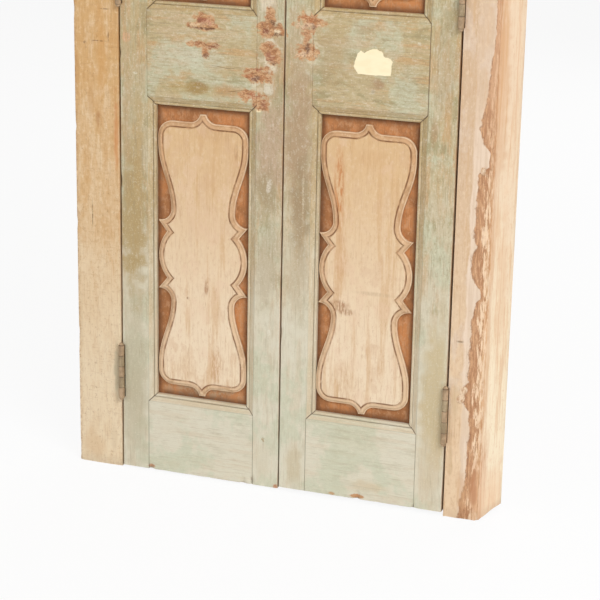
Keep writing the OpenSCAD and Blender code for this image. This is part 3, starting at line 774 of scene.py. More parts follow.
def hub_of(j, n):
    """Which of the four points on the middle line a step of the edge fans out from."""
    half = n // 2
    u = j % half
    in_bell = min(u, half - 1 - u) < WAIST_END
    upper = j < n // 4 or j >= 3 * n // 4
    return (0 if in_bell else 1) if upper else (3 if in_bell else 2)


def cartouche(leaf, place, finish):
    """The carved cartouche: a moulded border round a flat field, on the panel's ground."""
    node = f"{leaf.side}_{place}_cartouche"
    low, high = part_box(node)
    centre = (low + high) / 2
    hw, hh = (high.x - low.x) / 2, (high.z - low.z) / 2
    relief = high.y - low.y
    zone = leaf.panels[place]
    plain = LEAVES["left"].panels["lower"]
    k = (zone[1] - zone[0]) / (plain[1] - plain[0])
    rings = [whole_edge(hw, hh, k, share * BORDER_W) for share, _, _ in BORDER]
    n = len(rings[0])
    points, dirt_and_shade, band = [], [], []
    for ring, (share, height, dark) in zip(rings, BORDER):
        points += [(centre.x + x, high.y - relief * height, centre.z + z) for x, z in ring]
        # Each ring's painted shade with soiling.
        dirt_and_shade += [dark] * n
        band += [1 - min(1, share)] * n
    bell, lobe = hh - TIP_H - SHOULDER_R, 0.4 * LOBE_H * k
    hubs = {y: len(points) + 4 * i for i, y in enumerate((high.y, high.y - relief * BORDER[-1][1]))}
    for y in hubs:
        points += [(centre.x, y, centre.z + z) for z in (bell, lobe, -lobe, -bell)]
        dirt_and_shade += [0] * 4
        band += [0] * 4
    faces = []
    for i in range(len(rings) - 1):
        for j in range(n):
            a, b = i * n + j, i * n + (j + 1) % n
            faces.append((a, b, b + n, a + n))
    for first, hub in zip((0, (len(rings) - 1) * n), hubs.values()):
        for j in range(n):
            b = (j + 1) % n
            here, after = hub + hub_of(j, n), hub + hub_of(b, n)
            faces.append((here, first + j, first + b))
            if here != after:
                faces.append((here, first + b, after))
    mesh = bpy.data.meshes.new(node)
    mesh.from_pydata(points, [], faces)
    for mark, values in (("grime_and_shade", dirt_and_shade), ("band", band)):
        mesh.attributes.new(mark, "FLOAT", "POINT").data.foreach_set("value", np.array(values, np.float32))
    return piece(f"{node}_carved", weld(mesh, 40), finish, leaf.body, "bare_wood", node)


def ring_section(corners, pitches, eases):
    """A closed section through corners, each edge stepped by its own pitch and each arris eased."""
    loop = []
    for i, (corner, pitch, radius) in enumerate(zip(corners, pitches, eases)):
        ahead = corners[(i + 1) % len(corners)]
        ahead_radius = eases[(i + 1) % len(corners)]
        behind = corners[i - 1]
        p, q, o = (np.array(c, float) for c in (corner, ahead, behind))
        along = (q - p) / np.linalg.norm(q - p)
        back = (o - p) / np.linalg.norm(o - p)
        loop += [p + radius * back, p + 0.3 * radius * (along + back)]
        run = steps(radius, np.linalg.norm(q - p) - ahead_radius, pitch)[:-1]
        loop += [p + t * along for t in run]
    return np.array(loop)


def front_edge(side):
    """How far out a jamb's front runs; the right one stops short where its edge was hewn."""
    return reach(f"{side}_jamb")[1] - (WANE_W if side == "right" else 0)


def reveal_x(side):
    """Where a jamb's reveal lies, with its hinge plates let in flush."""
    return reach(f"{side}_lower_jamb_plate")[1] - PLATE_T


def jamb_section(side):
    """Round a jamb seen from above, with its rebate; the right one has a hewn outer edge."""
    node = f"{side}_jamb"
    inner, outer = reach(node)
    front, back = span(node, 1)
    face = reveal_x(side)
    rebate = BACK_Y + STOP_CLEAR
    full_y = front + WANE_D if side == "right" else back - BACK_WANE
    hewn = [(face, front), (front_edge(side), front), (outer, full_y), (outer, back)]
    rebated = [(inner, back), (inner, rebate), (face, rebate)]
    fine = JAMB_FINE[side]
    pitches = [fine, fine, 8 * MM, 20 * MM, 12 * MM, 8 * MM, 6 * MM]
    return ring_section(hewn + rebated, pitches, [REVEAL_ARRIS] + [JAMB_ARRIS] * 6)


def jamb_rows(side):
    """Rows up a jamb: height, order at that height, and the depth of a hinge seat there."""
    foot = span(f"{side}_jamb", 2)[0]
    top = span("head", 2)[1] - HEAD_H
    seats = [span(f"{side}_{h}_jamb_plate", 2) for h in HINGES]
    rows = []
    for z in steps(foot, top, JAMB_STEP[side]):
        rows.append((z, 0, PLATE_T if any(low < z < high for low, high in seats) else 0))
    for low, high in seats:
        rows += [(low, 0, 0), (low, 1, PLATE_T), (high, 0, PLATE_T), (high, 1, 0)]
    return sorted(rows)


def flaked_strip(grid, side):
    """How far over the flaked strip a point lies: below 0 on paint, 1 at the arris, more on the flank."""
    if side == "left":
        return np.full(grid.shape[:2], -1.0)
    heights, places = np.array(FLAKE_EDGE).T * MM
    edge = np.interp(grid[..., 2], heights, places)
    edge = edge + 2.5 * MM * ragged(grid, (0.05, 0.05, 0.022), 21)
    width = np.maximum(front_edge("right") - edge, 8 * MM)
    over = (grid[..., 0] - edge) / width
    past = np.maximum(grid[..., 1] - FACE_Y - JAMB_ARRIS, 0) / (25 * MM)
    return np.where(past > 0, 1 + past, over)


def jamb_wear(grid, side, faces, flank, strip, arris, inner_arris):
    """How far a jamb's faces lie back: planing, hewing, lost paint and bitten arrises."""
    depth = 0.15 * MM * (1 + waver(grid, (0.04, 0.04, 0.2), 12)) * faces
    hewing = 0.7 + 0.6 * waver(grid, (0.03, 0.05, 0.12), 13) + 0.5 * waver(grid, (0.015, 0.02, 0.03), 14)
    hewn = flank if side == "right" else 0.6 * flank * (grid[..., 1] < FACE_Y + 12 * MM)
    depth += hewn * hewing * MM
    paint = smooth(0.5 - 4 * strip)
    depth += (1 - paint) * FLAKE_T * (1 + 0.5 * ragged(grid, (0.006, 0.02, 0.02), 15)) * faces
    bite = np.maximum(0, ragged(grid, (0.02, 0.02, 0.03), 16)) ** 1.5
    depth += arris * bite * JAMB_BITE[side]
    depth += inner_arris * 0.8 * MM * np.maximum(0, waver(grid, (0.02, 0.02, 0.04), 17))
    return np.maximum(depth, 0)


def jamb_foot(grid, side, faces, outside, arris):
    """How near a point lies to a jamb's foot, and how much of the foot is gone there."""
    foot = span(f"{side}_jamb", 2)[0]
    low = smooth(1 - (grid[..., 2] - foot) / FOOT_H)
    battered = np.maximum(arris, 0.2 * faces)
    lift = FOOT_WEAR[side] * low * (1 + ragged(grid, (0.03, 0.05, 0.05), 18)) * battered
    if side == "right":
        lift = lift + FOOT_SLOPE * low * outside * smooth((grid[..., 1] - FACE_Y) / (70 * MM))
    return low, lift


def jamb(side, finish):
    """A jamb with worn arrises, a waney outer edge and a battered foot."""
    node = f"{side}_jamb"
    sign = SIDES[side]
    face, outer = reveal_x(side), front_edge(side)
    x, y = jamb_section(side).T
    rows = jamb_rows(side)
    grid = np.zeros((len(rows), len(x), 3))
    seat_back = span(f"{side}_lower_jamb_plate", 1)[1]
    for r, (z, _, seat) in enumerate(rows):
        across = np.where((y < seat_back) & (x > face - 0.1 * MM), np.maximum(x, face + seat), x)
        grid[r] = np.stack([sign * across, y, np.full(len(x), z)], -1)
    on_front = 1.0 * (y < FACE_Y + 0.1 * MM)
    outside = 1.0 * (x > outer - 0.1 * MM)
    flank = outside * (y < BACK_Y + 50 * MM)
    faces = np.maximum(on_front, flank)
    arris = smooth(1 - np.hypot(x - outer, y - FACE_Y) / (9 * MM))
    inner_arris = smooth(1 - np.hypot(x - face, y - FACE_Y) / (3 * MM))
    strip = flaked_strip(grid, side)
    depth = jamb_wear(grid, side, faces, flank, strip, arris, inner_arris)
    low, lift = jamb_foot(grid, side, faces, outside, arris)
    grid[..., 0] -= sign * depth * (x > (face + outer) / 2) * (y > FACE_Y + 0.1 * MM)
    grid[..., 1] += depth * np.maximum(on_front, arris)
    grid[..., 2] += lift
    # Painted shade on the reveal in the hinge gap, and soiling at the foot.
    reveal = (x < face + 0.5 * MM) * (y > FACE_Y + 1 * MM)
    marks = {
        "grime_and_shade": np.clip(0.2 * reveal + 0.25 * low, 0, 1),
        "strip": strip,
        "worn": arris,
        "stain": blots(grid, JAMB_STAINS, faces),
    }
    return piece(f"{node}_worn", skin(node, grid, marks), finish, "frame", f"{side}_jamb_wood", node)


class Tree:
    """A Geometry Nodes tree with named inputs, which ends by laying a material on what it made."""

    def __init__(self, name, **inputs):
        self.group = bpy.data.node_groups.new(name, "GeometryNodeTree")
        self.group.interface.new_socket("Geometry", in_out="INPUT", socket_type="NodeSocketGeometry")
        self.group.interface.new_socket("Geometry", in_out="OUTPUT", socket_type="NodeSocketGeometry")
        self.values = {}
        for title, value in inputs.items():
            kind = "NodeSocketInt" if isinstance(value, int) else "NodeSocketFloat"
            socket = self.group.interface.new_socket(title, in_out="INPUT", socket_type=kind)
            self.values[socket.identifier] = value
        self.start = self.group.nodes.new("NodeGroupInput")

    def add(self, kind, **feeds):
        """A node with sockets fed by name; a word in lower case sets a property of the node itself."""
        node = self.group.nodes.new(kind)
        for name, value in feeds.items():
            if name.islower():
                setattr(node, name, value)
        for name, value in feeds.items():
            if not name.islower():
                self.feed(node.inputs[name.replace("_", " ")], value)
        return node

    def feed(self, socket, value):
        if isinstance(value, bpy.types.NodeSocket):
            self.group.links.new(value, socket)
        else:
            socket.default_value = value

    def math(self, operation, first, second=0.0):
        node = self.add("ShaderNodeMath", operation=operation)
        self.feed(node.inputs[0], first)
        self.feed(node.inputs[1], second)
        return node.outputs[0]

    def vector(self, x=0.0, y=0.0, z=0.0):
        return self.add("ShaderNodeCombineXYZ", X=x, Y=y, Z=z).outputs[0]

    def random(self, low, high, seed):
        """A random number for each point, between two values."""
        node = self.add("FunctionNodeRandomValue", data_type="FLOAT")
        for name, value in (("Min", low), ("Max", high)):
            self.feed([s for s in node.inputs if s.name == name and s.type == "VALUE"][0], value)
        self.feed(node.inputs["Seed"], seed)
        return [s for s in node.outputs if s.type == "VALUE"][0]

    def waver(self, geometry, size, amount):
        """Moves the points inwards by up to an amount, by noise with bumps of a size."""
        noise = self.add("ShaderNodeTexNoise", Scale=1 / size, Detail=2.0)
        normal = self.add("GeometryNodeInputNormal").outputs[0]
        inward = self.add("ShaderNodeVectorMath", operation="SCALE")
        self.feed(inward.inputs[0], normal)
        back = self.math("MULTIPLY", amount, -1.0)
        self.feed(inward.inputs["Scale"], self.math("MULTIPLY", noise.outputs[0], back))
        return self.add("GeometryNodeSetPosition", Geometry=geometry, Offset=inward.outputs[0]).outputs[0]

    def make(self, name, base, finish, geometry):
        """Runs the tree on a base mesh and hands back a plain mesh."""
        dressed = self.add("GeometryNodeSetMaterial", Geometry=geometry, Material=finish).outputs[0]
        self.feed(self.group.nodes.new("NodeGroupOutput").inputs[0], dressed)
        maker = bpy.data.objects.new(f"{name}_maker", base)
        bpy.context.scene.collection.objects.link(maker)
        modifier = maker.modifiers.new("nodes", "NODES")
        modifier.node_group = self.group
        for identifier, value in self.values.items():
            modifier[identifier] = value
        made = bpy.data.meshes.new_from_object(maker.evaluated_get(bpy.context.evaluated_depsgraph_get()))
        made.name = name
        maker.modifiers.remove(modifier)
        bpy.data.objects.remove(maker)
        bpy.data.meshes.remove(base)
        return made


def leaf_pegs(leaf, finish):
    """Tapered pegs through the tenons: under the paint in front, flush behind, one showing in front."""
    node = f"{leaf.side}_leaf_pegs"
    peg_x = (leaf.flat[0] - PEG_IN, leaf.flat[1] + PEG_IN)
    lock_mid = (leaf.panels["lower"][1] + leaf.panels["upper"][0]) / 2
    top_mid = (leaf.panels["upper"][1] + leaf.top) / 2
    peg_z = (leaf.panels["lower"][0] - PEG_DROP, lock_mid - PEG_PITCH / 2, lock_mid + PEG_PITCH / 2, top_mid)
    places, lengths = [], []
    for x, z in itertools.product(peg_x, peg_z):
        shown = leaf.side == "left" and (x, z) == (peg_x[0], peg_z[0])
        cover = 0 if shown else PEG_COVER
        places.append((leaf.sign * x, (FACE_Y + cover + BACK_Y) / 2, z))
        lengths.append((LEAF_T - cover) / LEAF_T)
    base = bpy.data.meshes.new(f"{node}_places")
    base.from_pydata(places, [], [])
    base.attributes.new("share", "FLOAT", "POINT").data.foreach_set("value", np.array(lengths, np.float32))
    tree = Tree(f"{node}_row", Width=PEG_D, Length=LEAF_T, Taper=0.96, Waver=0.5 * MM, Sides=14)
    given = tree.start.outputs
    r = tree.math("MULTIPLY", given["Width"], 0.5)
    peg = tree.add(
        "GeometryNodeMeshCone", Vertices=given["Sides"], Side_Segments=5, Depth=given["Length"],
        Radius_Top=tree.math("MULTIPLY", r, given["Taper"]), Radius_Bottom=r,
    ).outputs[0]
    middle = tree.vector(z=tree.math("MULTIPLY", given["Length"], -0.5))
    peg = tree.add("GeometryNodeTransform", Geometry=peg, Translation=middle).outputs[0]
    peg = tree.add("GeometryNodeTransform", Geometry=peg, Rotation=(math.pi / 2, 0, 0)).outputs[0]
    share = tree.add("GeometryNodeInputNamedAttribute", data_type="FLOAT", Name="share").outputs[0]
    holes = given["Geometry"]
    size = tree.vector(1.0, share, 1.0)
    row = tree.add("GeometryNodeInstanceOnPoints", Points=holes, Instance=peg, Scale=size).outputs[0]
    row = tree.add("GeometryNodeRealizeInstances", Geometry=row).outputs[0]
    mesh = tree.make(node, base, finish, tree.waver(row, 3 * MM, given["Waver"]))
    return piece(f"{node}_cut", weld(mesh, 30), finish, leaf.body, "peg_wood", node)


def flake_bed(sign):
    """A narrow band along the worst of the flaked edge, on which curled flakes sit."""
    heights, places = np.array(FLAKE_EDGE).T * MM
    points, faces = [], []
    for low, high in FLAKE_RUNS:
        rows = steps(low * MM, high * MM, 6 * MM)
        edge = np.interp(rows, heights, places)
        first = len(points)
        for x, z in zip(edge, rows):
            points += [(sign * (x - 5 * MM), FACE_Y, z), (sign * (x + 2 * MM), FACE_Y, z)]
        for i in range(first, len(points) - 2, 2):
            faces.append((i, i + 1, i + 3, i + 2))
    mesh = bpy.data.meshes.new("flake_bed")
    mesh.from_pydata(points, [], faces)
    return mesh


def paint_flakes(finish):
    """Curled flakes of paint along the edge where the right jamb's paint is coming away."""
    tree = Tree(
        "curled_flakes", Spacing=13 * MM, Crowding=9000.0, Smallest=4.5 * MM, Largest=8 * MM,
        Thickness=0.08, Curl=0.5, Waver=0.5 * MM, Seed=4,
    )
    given = tree.start.outputs
    flake = tree.add("GeometryNodeMeshIcoSphere", Radius=1.0, Subdivisions=3).outputs[0]
    flat = tree.vector(1.0, given["Thickness"], 1.4)
    flake = tree.add("GeometryNodeTransform", Geometry=flake, Scale=flat).outputs[0]
    place = tree.add("ShaderNodeSeparateXYZ", Vector=tree.add("GeometryNodeInputPosition").outputs[0]).outputs
    lifted = tree.math("MULTIPLY", tree.math("ADD", place["X"], 1.0), 0.5)
    lifted = tree.math("POWER", tree.math("MAXIMUM", lifted, 0.0), 2.0)
    curl = tree.math("MULTIPLY", tree.math("MULTIPLY", lifted, given["Curl"]), -1.0)
    flake = tree.add("GeometryNodeSetPosition", Geometry=flake, Offset=tree.vector(y=curl)).outputs[0]
    spread = tree.add(
        "GeometryNodeDistributePointsOnFaces", distribute_method="POISSON", Mesh=given["Geometry"],
        Distance_Min=given["Spacing"], Density_Max=given["Crowding"], Seed=given["Seed"],
    ).outputs["Points"]
    size = tree.random(given["Smallest"], given["Largest"], given["Seed"])
    turn = tree.random(-0.9, 0.9, tree.math("ADD", given["Seed"], 11.0))
    grown = tree.add(
        "GeometryNodeInstanceOnPoints", Points=spread, Instance=flake, Rotation=tree.vector(y=turn),
        Scale=tree.vector(size, size, size),
    ).outputs[0]
    grown = tree.add("GeometryNodeRealizeInstances", Geometry=grown).outputs[0]
    grown = tree.waver(grown, 4 * MM, given["Waver"])
    mesh = tree.make("curled_flakes", flake_bed(SIDES["right"]), finish, grown)
    return piece("right_jamb_flakes", weld(mesh, 60), finish, "frame", "right_jamb_wood")


def knuckle_ends(side, hinge):
    """Heights at which the knuckles of one hinge end."""
    ends = set()
    for part in ("leaf_plate", "jamb_plate"):
        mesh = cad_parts[f"{side}_{hinge}_{part}"].data
        ends |= {round(v.co.z, 4) for v in mesh.vertices if v.co.y < FACE_Y - 4 * MM}
    return sorted(ends)


def darken_seams(mesh, ends):
    """Adds a mark for painted shade and rust that is 1 at the ends of the knuckles and fades within a few
    millimetres.
    """
    work = bmesh.new()
    work.from_mesh(mesh)
    for z, off in itertools.product(ends, (-SEAM_W, -SEAM_W / 3, SEAM_W / 3, SEAM_W)):
        everything = work.verts[:] + work.edges[:] + work.faces[:]
        bmesh.ops.bisect_plane(work, geom=everything, dist=WELD, plane_co=(0, 0, z + off), plane_no=(0, 0, 1))
    seam_rust_and_shade = work.verts.layers.float.new("seam_rust_and_shade")
    for v in work.verts:
        v[seam_rust_and_shade] = float(smooth(1 - min(abs(v.co.z - z) for z in ends) / SEAM_W))
    work.to_mesh(mesh)
    work.free()


def eased_copy(node, width, body, slot, finish, name, seams=()):
    """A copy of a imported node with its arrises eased."""
    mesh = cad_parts[node].data.copy()
    mesh.name = name
    work = bmesh.new()
    work.from_mesh(mesh)
    bmesh.ops.remove_doubles(work, verts=work.verts, dist=WELD)
    bmesh.ops.dissolve_limit(work, angle_limit=math.radians(1), verts=work.verts, edges=work.edges)
    work.to_mesh(mesh)
    work.free()
    maker = bpy.data.objects.new(f"{name}_maker", mesh)
    bpy.context.scene.collection.objects.link(maker)
    ease = maker.modifiers.new("ease", "BEVEL")
    ease.width = width
    ease.segments = 2
    ease.limit_method = "ANGLE"
    ease.angle_limit = math.radians(40)
    shaped = bpy.data.meshes.new_from_object(maker.evaluated_get(bpy.context.evaluated_depsgraph_get()))
    bpy.data.objects.remove(maker)
    if seams:
        darken_seams(shaped, seams)
    return piece(name, weld(shaped, 40), finish, body, slot, node)


def paper(finish):
    """A torn scrap of blank paper stuck to the right lock rail, its edge curling a little."""
    edge = np.array(PAPER_EDGE, float) * MM
    loop = []
    for p, q in zip(edge, np.roll(edge, -1, axis=0)):
        for t in np.linspace(0, 1, 6)[:-1]:
            loop.append(p + (q - p) * t)
    loop = np.array(loop)
    flat = np.stack([loop[:, 0], np.zeros(len(loop)), loop[:, 1]], -1)
    loop += 1.0 * MM * np.stack([ragged(flat, 0.004, 31), ragged(flat, 0.004, 32)], -1)
    centre = loop.mean(axis=0)
    shares = (1, 0.985, 0.9, 0.7, 0.45, 0.2)
    proud = (0.55, 0.5, 0.35, 0.32, 0.3, 0.3)
    points, faces = [], []
    n = len(loop)
    for share, lift in zip(shares, proud):
        ring = centre + share * (loop - centre)
        here = np.stack([ring[:, 0], np.zeros(n), ring[:, 1]], -1)
        curl = 1 + 0.5 * waver(here, 0.02, 33) * (share > 0.95)
        points += [(x, FACE_Y - lift * c * MM, z) for (x, z), c in zip(ring, curl)]
    back = len(points)
    points += [(x, FACE_Y + 0.3 * MM, z) for x, z in loop]
    points += [(centre[0], FACE_Y - proud[-1] * MM, centre[1]), (centre[0], FACE_Y + 0.3 * MM, centre[1])]
    for i in range(len(shares) - 1):
        for j in range(n):
            p, q = i * n + j, i * n + (j + 1) % n
            faces.append((p, q, q + n, p + n))
    last = (len(shares) - 1) * n
    faces += [(last + j, last + (j + 1) % n, len(points) - 2) for j in range(n)]
    faces += [(back + (j + 1) % n, back + j, len(points) - 1) for j in range(n)]
    faces += [(back + j, back + (j + 1) % n, (j + 1) % n, j) for j in range(n)]
    mesh = bpy.data.meshes.new("paper_scrap")
    mesh.from_pydata(points, [], faces)
    return piece("paper_scrap", weld(mesh, 50), finish, "right_leaf", None)


class Finish:
    """One material, built from noise on the object's own coordinates and from marks on its points."""

    def __init__(self, name, roughness=0.8):
        self.material = bpy.data.materials.new(name)
        self.material.use_nodes = True
        self.nodes = self.material.node_tree.nodes
        self.links = self.material.node_tree.links
        self.shader = self.nodes["Principled BSDF"]
        self.shader.inputs["Roughness"].default_value = roughness
        self.place = self.nodes.new("ShaderNodeTexCoord").outputs["Object"]

    def feed(self, socket, value):
        if isinstance(value, bpy.types.NodeSocket):
            self.links.new(value, socket)
        elif isinstance(value, tuple) and len(value) == 3 and socket.type == "RGBA":
            socket.default_value = (*value, 1)
        else:
            socket.default_value = value

    def noise(self, pitch, detail=4, roughness=0.55, shift=0.0, twist=0.0):
        """Noise with bumps of about the given size in metres along X, Y and Z."""
        mapping = self.nodes.new("ShaderNodeMapping")
        mapping.inputs["Scale"].default_value = [1 / p for p in pitch]
        mapping.inputs["Location"].default_value = (shift, shift * 0.7, shift * 1.3)
        self.links.new(self.place, mapping.inputs["Vector"])
        texture = self.nodes.new("ShaderNodeTexNoise")
        self.links.new(mapping.outputs["Vector"], texture.inputs["Vector"])
        texture.inputs["Scale"].default_value = 1
        texture.inputs["Detail"].default_value = detail
        texture.inputs["Roughness"].default_value = roughness
        texture.inputs["Distortion"].default_value = twist
        return texture.outputs["Fac"]

    def mark(self, name, part="Fac"):
        node = self.nodes.new("ShaderNodeAttribute")
        node.attribute_name = name
        return node.outputs[part]

    def spot(self, x, z, wide, high):
        """1 in the middle of an oval on a face and 0 outside it, in millimetres."""
        mapping = self.nodes.new("ShaderNodeMapping")
        mapping.inputs["Scale"].default_value = (1000 / wide, 0, 1000 / high)
        mapping.inputs["Location"].default_value = (-x / wide, 0, -z / high)
        self.links.new(self.place, mapping.inputs["Vector"])
        length = self.nodes.new("ShaderNodeVectorMath")
        length.operation = "LENGTH"
        self.links.new(mapping.outputs["Vector"], length.inputs[0])
        return self.ramp(length.outputs["Value"], 1.0, 0.35)

    def along(self, axis):
        node = self.nodes.new("ShaderNodeSeparateXYZ")
        self.links.new(self.place, node.inputs[0])
        return node.outputs[axis]

    def math(self, operation, first, second=0.0, clamp=False):
        node = self.nodes.new("ShaderNodeMath")
        node.operation = operation
        node.use_clamp = clamp
        self.feed(node.inputs[0], first)
        self.feed(node.inputs[1], second)
        return node.outputs[0]

    def plus(self, first, second):
        return self.math("ADD", first, second)

    def times(self, first, second):
        return self.math("MULTIPLY", first, second)

    def swing(self, pattern, amount):
        """A pattern's swing about its middle, times an amount."""
        return self.times(self.math("SUBTRACT", pattern, 0.5), amount)

    def ramp(self, value, low, high, start=0.0, end=1.0):
        """Start below low, end above high, and a smooth change between."""
        node = self.nodes.new("ShaderNodeMapRange")
        node.interpolation_type = "SMOOTHSTEP"
        self.feed(node.inputs["Value"], value)
        for name, number in (("From Min", low), ("From Max", high), ("To Min", start), ("To Max", end)):
            node.inputs[name].default_value = number
        return node.outputs["Result"]

    def mix(self, share, first, second, blend="MIX"):
        node = self.nodes.new("ShaderNodeMix")
        node.data_type = "RGBA"
        node.blend_type = blend
        self.feed(node.inputs["Factor"], share)
        self.feed(node.inputs[6], first)
        self.feed(node.inputs[7], second)
        return node.outputs[2]

    def lay(self, base, tone, pattern, low, high, most=1.0, where=None):
        """Lays a tone, as seen on a screen, over a base where a pattern passes from low to high."""
        share = self.ramp(pattern, low, high, 0, most)
        if where is not None:
            share = self.times(share, where)
        return self.mix(share, base, linear(*tone))

    def stained(self, colour, name, crisp=0.0, speckle=None):
        """Lays a mark's own colour over another, with a soft edge or a crisp ragged one."""
        share = self.mark(name, "Alpha")
        if speckle is not None:
            share = self.times(share, self.plus(self.times(speckle, 1.3), 0.35))
        if crisp:
            share = self.ramp(share, 0.5 - 0.5 / crisp, 0.5 + 0.5 / crisp)
        else:
            share = self.ramp(share, 0.05, 1.0)
        return self.mix(share, colour, self.mark(name, "Color"))

    def done(self, colour, height=None, depth=0.3 * MM, roughness=None):
        self.feed(self.shader.inputs["Base Color"], colour)
        if roughness is not None:
            self.feed(self.shader.inputs["Roughness"], roughness)
        if height is not None:
            bump = self.nodes.new("ShaderNodeBump")
            bump.inputs["Strength"].default_value = 0.7
            bump.inputs["Distance"].default_value = depth
            self.links.new(height, bump.inputs["Height"])
            self.links.new(bump.outputs["Normal"], self.shader.inputs["Normal"])
        return self.material


def stretch(along, fine, long):
    """Sizes of a pattern drawn out along the grain, which runs up a stile or across a rail."""
    return tuple(long if axis == along else fine for axis in "xyz")


def leaf_paint(name, grain):
    """Thin old green-grey paint, mottled and rubbed, browner towards the top and torn in places."""
    f = Finish(name, 0.78)
    fibre = f.noise(stretch(grain, 0.0021, 0.06), 5, 0.6)
    streak = f.noise(stretch(grain, 0.016, 0.14), 5, 0.65, 3.1)
    cloud = f.noise((0.11, 0.11, 0.13), 5, 0.62, 7.3)
    patch = f.noise(stretch(grain, 0.028, 0.075), 5, 0.65, 11.2)
    mottle = f.noise(stretch(grain, 0.006, 0.016), 5, 0.72, 13.5)
    speck = f.noise((0.0035, 0.0035, 0.0035), 3, 0.6, 1.7)
    height = f.plus(f.along("Z"), f.swing(cloud, 0.9))
    upper = f.ramp(height, 0.22, 0.75, 0.22, 1)
    colour = f.mix(f.ramp(height, 0.1, 0.95), linear(222, 216, 196), linear(192, 172, 130))
    colour = f.lay(colour, (200, 160, 112), streak, 0.5, 0.62, 0.7, upper)
    colour = f.lay(colour, (198, 204, 178), cloud, 0.48, 0.58, 0.55)
    colour = f.lay(colour, (206, 180, 146), patch, 0.53, 0.63, 0.45, upper)
    colour = f.lay(colour, (158, 148, 108), patch, 0.47, 0.37, 0.6, upper)
    tan = f.mix(f.ramp(height, 0.2, 0.9), linear(212, 194, 164), linear(188, 160, 112))
    rubbed = f.times(f.mark("mould"), f.ramp(streak, 0.34, 0.6, 0.25, 0.85))
    colour = f.mix(rubbed, colour, tan)
    colour = f.stained(colour, "stain", 0, mottle)
    colour = f.lay(colour, (160, 136, 98), mottle, 0.48, 0.38, 0.36, upper)
    colour = f.lay(colour, (226, 220, 200), mottle, 0.53, 0.64, 0.3)
    colour = f.lay(colour, (148, 122, 84), fibre, 0.46, 0.34, 0.45, upper)
    colour = f.lay(colour, (234, 228, 208), speck, 0.58, 0.68, 0.35)
    colour = f.lay(colour, (184, 170, 140), fibre, 0.46, 0.36, 0.22)
    colour = f.lay(colour, (138, 112, 78), speck, 0.4, 0.32, 0.35, upper)
    worn = f.times(f.mark("worn"), f.ramp(streak, 0.35, 0.6))
    colour = f.mix(f.math("MULTIPLY", worn, 0.75, True), colour, linear(178, 136, 100))
    colour = f.stained(colour, "chip", 2.2, speck)
    colour = torn_wood(f, colour)
    # Soiling in the joints and mitres, painted shade in the moulding creases, the groove and the gap.
    colour = f.mix(f.times(f.mark("grime_and_shade"), 0.72), colour, linear(86, 62, 40))
    relief = f.plus(fibre, f.times(mottle, 0.6))
    return f.done(colour, relief, 0.35 * MM, f.ramp(streak, 0.3, 0.7, 0.68, 0.86))


def torn_wood(f, colour):
    """Torn places: brown wood with lighter splinters and dark cuts, which are painted shade, a stain round
    them and pale filler.
    """
    splinter = f.noise((0.009, 0.009, 0.0048), 5, 0.72, 5.2, 0.8)
    bruise = f.noise((0.02, 0.02, 0.014), 4, 0.6, 2.6)
    crumble = f.noise((0.004, 0.004, 0.0036), 5, 0.7, 8.1)
    mark = f.mark("torn")
    rim = f.times(f.mark("rim"), f.ramp(bruise, 0.42, 0.58))
    colour = f.lay(colour, (222, 208, 180), rim, 0.2, 0.8, 0.5)
    halo = f.plus(mark, f.swing(crumble, 1.5))
    halo = f.times(f.ramp(halo, 0.05, 0.7, 0, 0.6), f.ramp(mark, 0, 0.1))
    colour = f.mix(halo, colour, linear(204, 162, 118))
    flesh = f.mix(f.ramp(bruise, 0.43, 0.57), linear(178, 120, 76), linear(202, 152, 106))
    flesh = f.stained(flesh, "tear", 0, crumble)
    flesh = f.lay(flesh, (220, 188, 150), splinter, 0.51, 0.58, 0.6)
    flesh = f.lay(flesh, (140, 90, 58), crumble, 0.47, 0.39, 0.55)
    # Painted shade in the dark cuts.
    flesh = f.lay(flesh, (118, 72, 46), splinter, 0.46, 0.4, 0.65)
    torn = f.plus(mark, f.swing(crumble, 2.2))
    torn = f.plus(torn, f.swing(bruise, 1.2))
    share = f.times(f.ramp(torn, 0.2, 0.75, 0, 0.9), f.ramp(mark, 0.05, 0.3))
    return f.mix(share, colour, flesh)


def panel_ground():
    """Rust-brown ground, dusty in the open and darker along the mouldings: painted shade of the recess, with
    soiling.
    """
    f = Finish("panel_ground", 0.85)
    cloud = f.noise((0.05, 0.05, 0.07), 5, 0.62)
    fibre = f.noise((0.0025, 0.0025, 0.03), 4, 0.6, 2.0)
    dust = f.noise((0.014, 0.014, 0.018), 5, 0.68, 4.0)
    speck = f.noise((0.004, 0.004, 0.005), 4, 0.65, 9.0)
    colour = f.mix(f.ramp(cloud, 0.42, 0.58), linear(166, 110, 66), linear(198, 132, 80))
    colour = f.lay(colour, (198, 152, 112), dust, 0.49, 0.6, 0.5)
    colour = f.lay(colour, (208, 168, 130), speck, 0.56, 0.66, 0.35)
    colour = f.lay(colour, (126, 82, 50), fibre, 0.47, 0.36, 0.25)
    dusty = f.times(f.spot(-180, 190, 120, 46), f.ramp(dust, 0.42, 0.56, 0.2, 0.75))
    colour = f.mix(dusty, colour, linear(184, 156, 124))
    # Painted shade with soiling where the ground meets the mouldings.
    dirt_and_shade = f.times(f.mark("grime_and_shade"), f.ramp(dust, 0.2, 0.6, 0.5, 0.9))
    colour = f.mix(dirt_and_shade, colour, linear(104, 64, 38))
    return f.done(colour, f.plus(fibre, dust), 0.4 * MM)


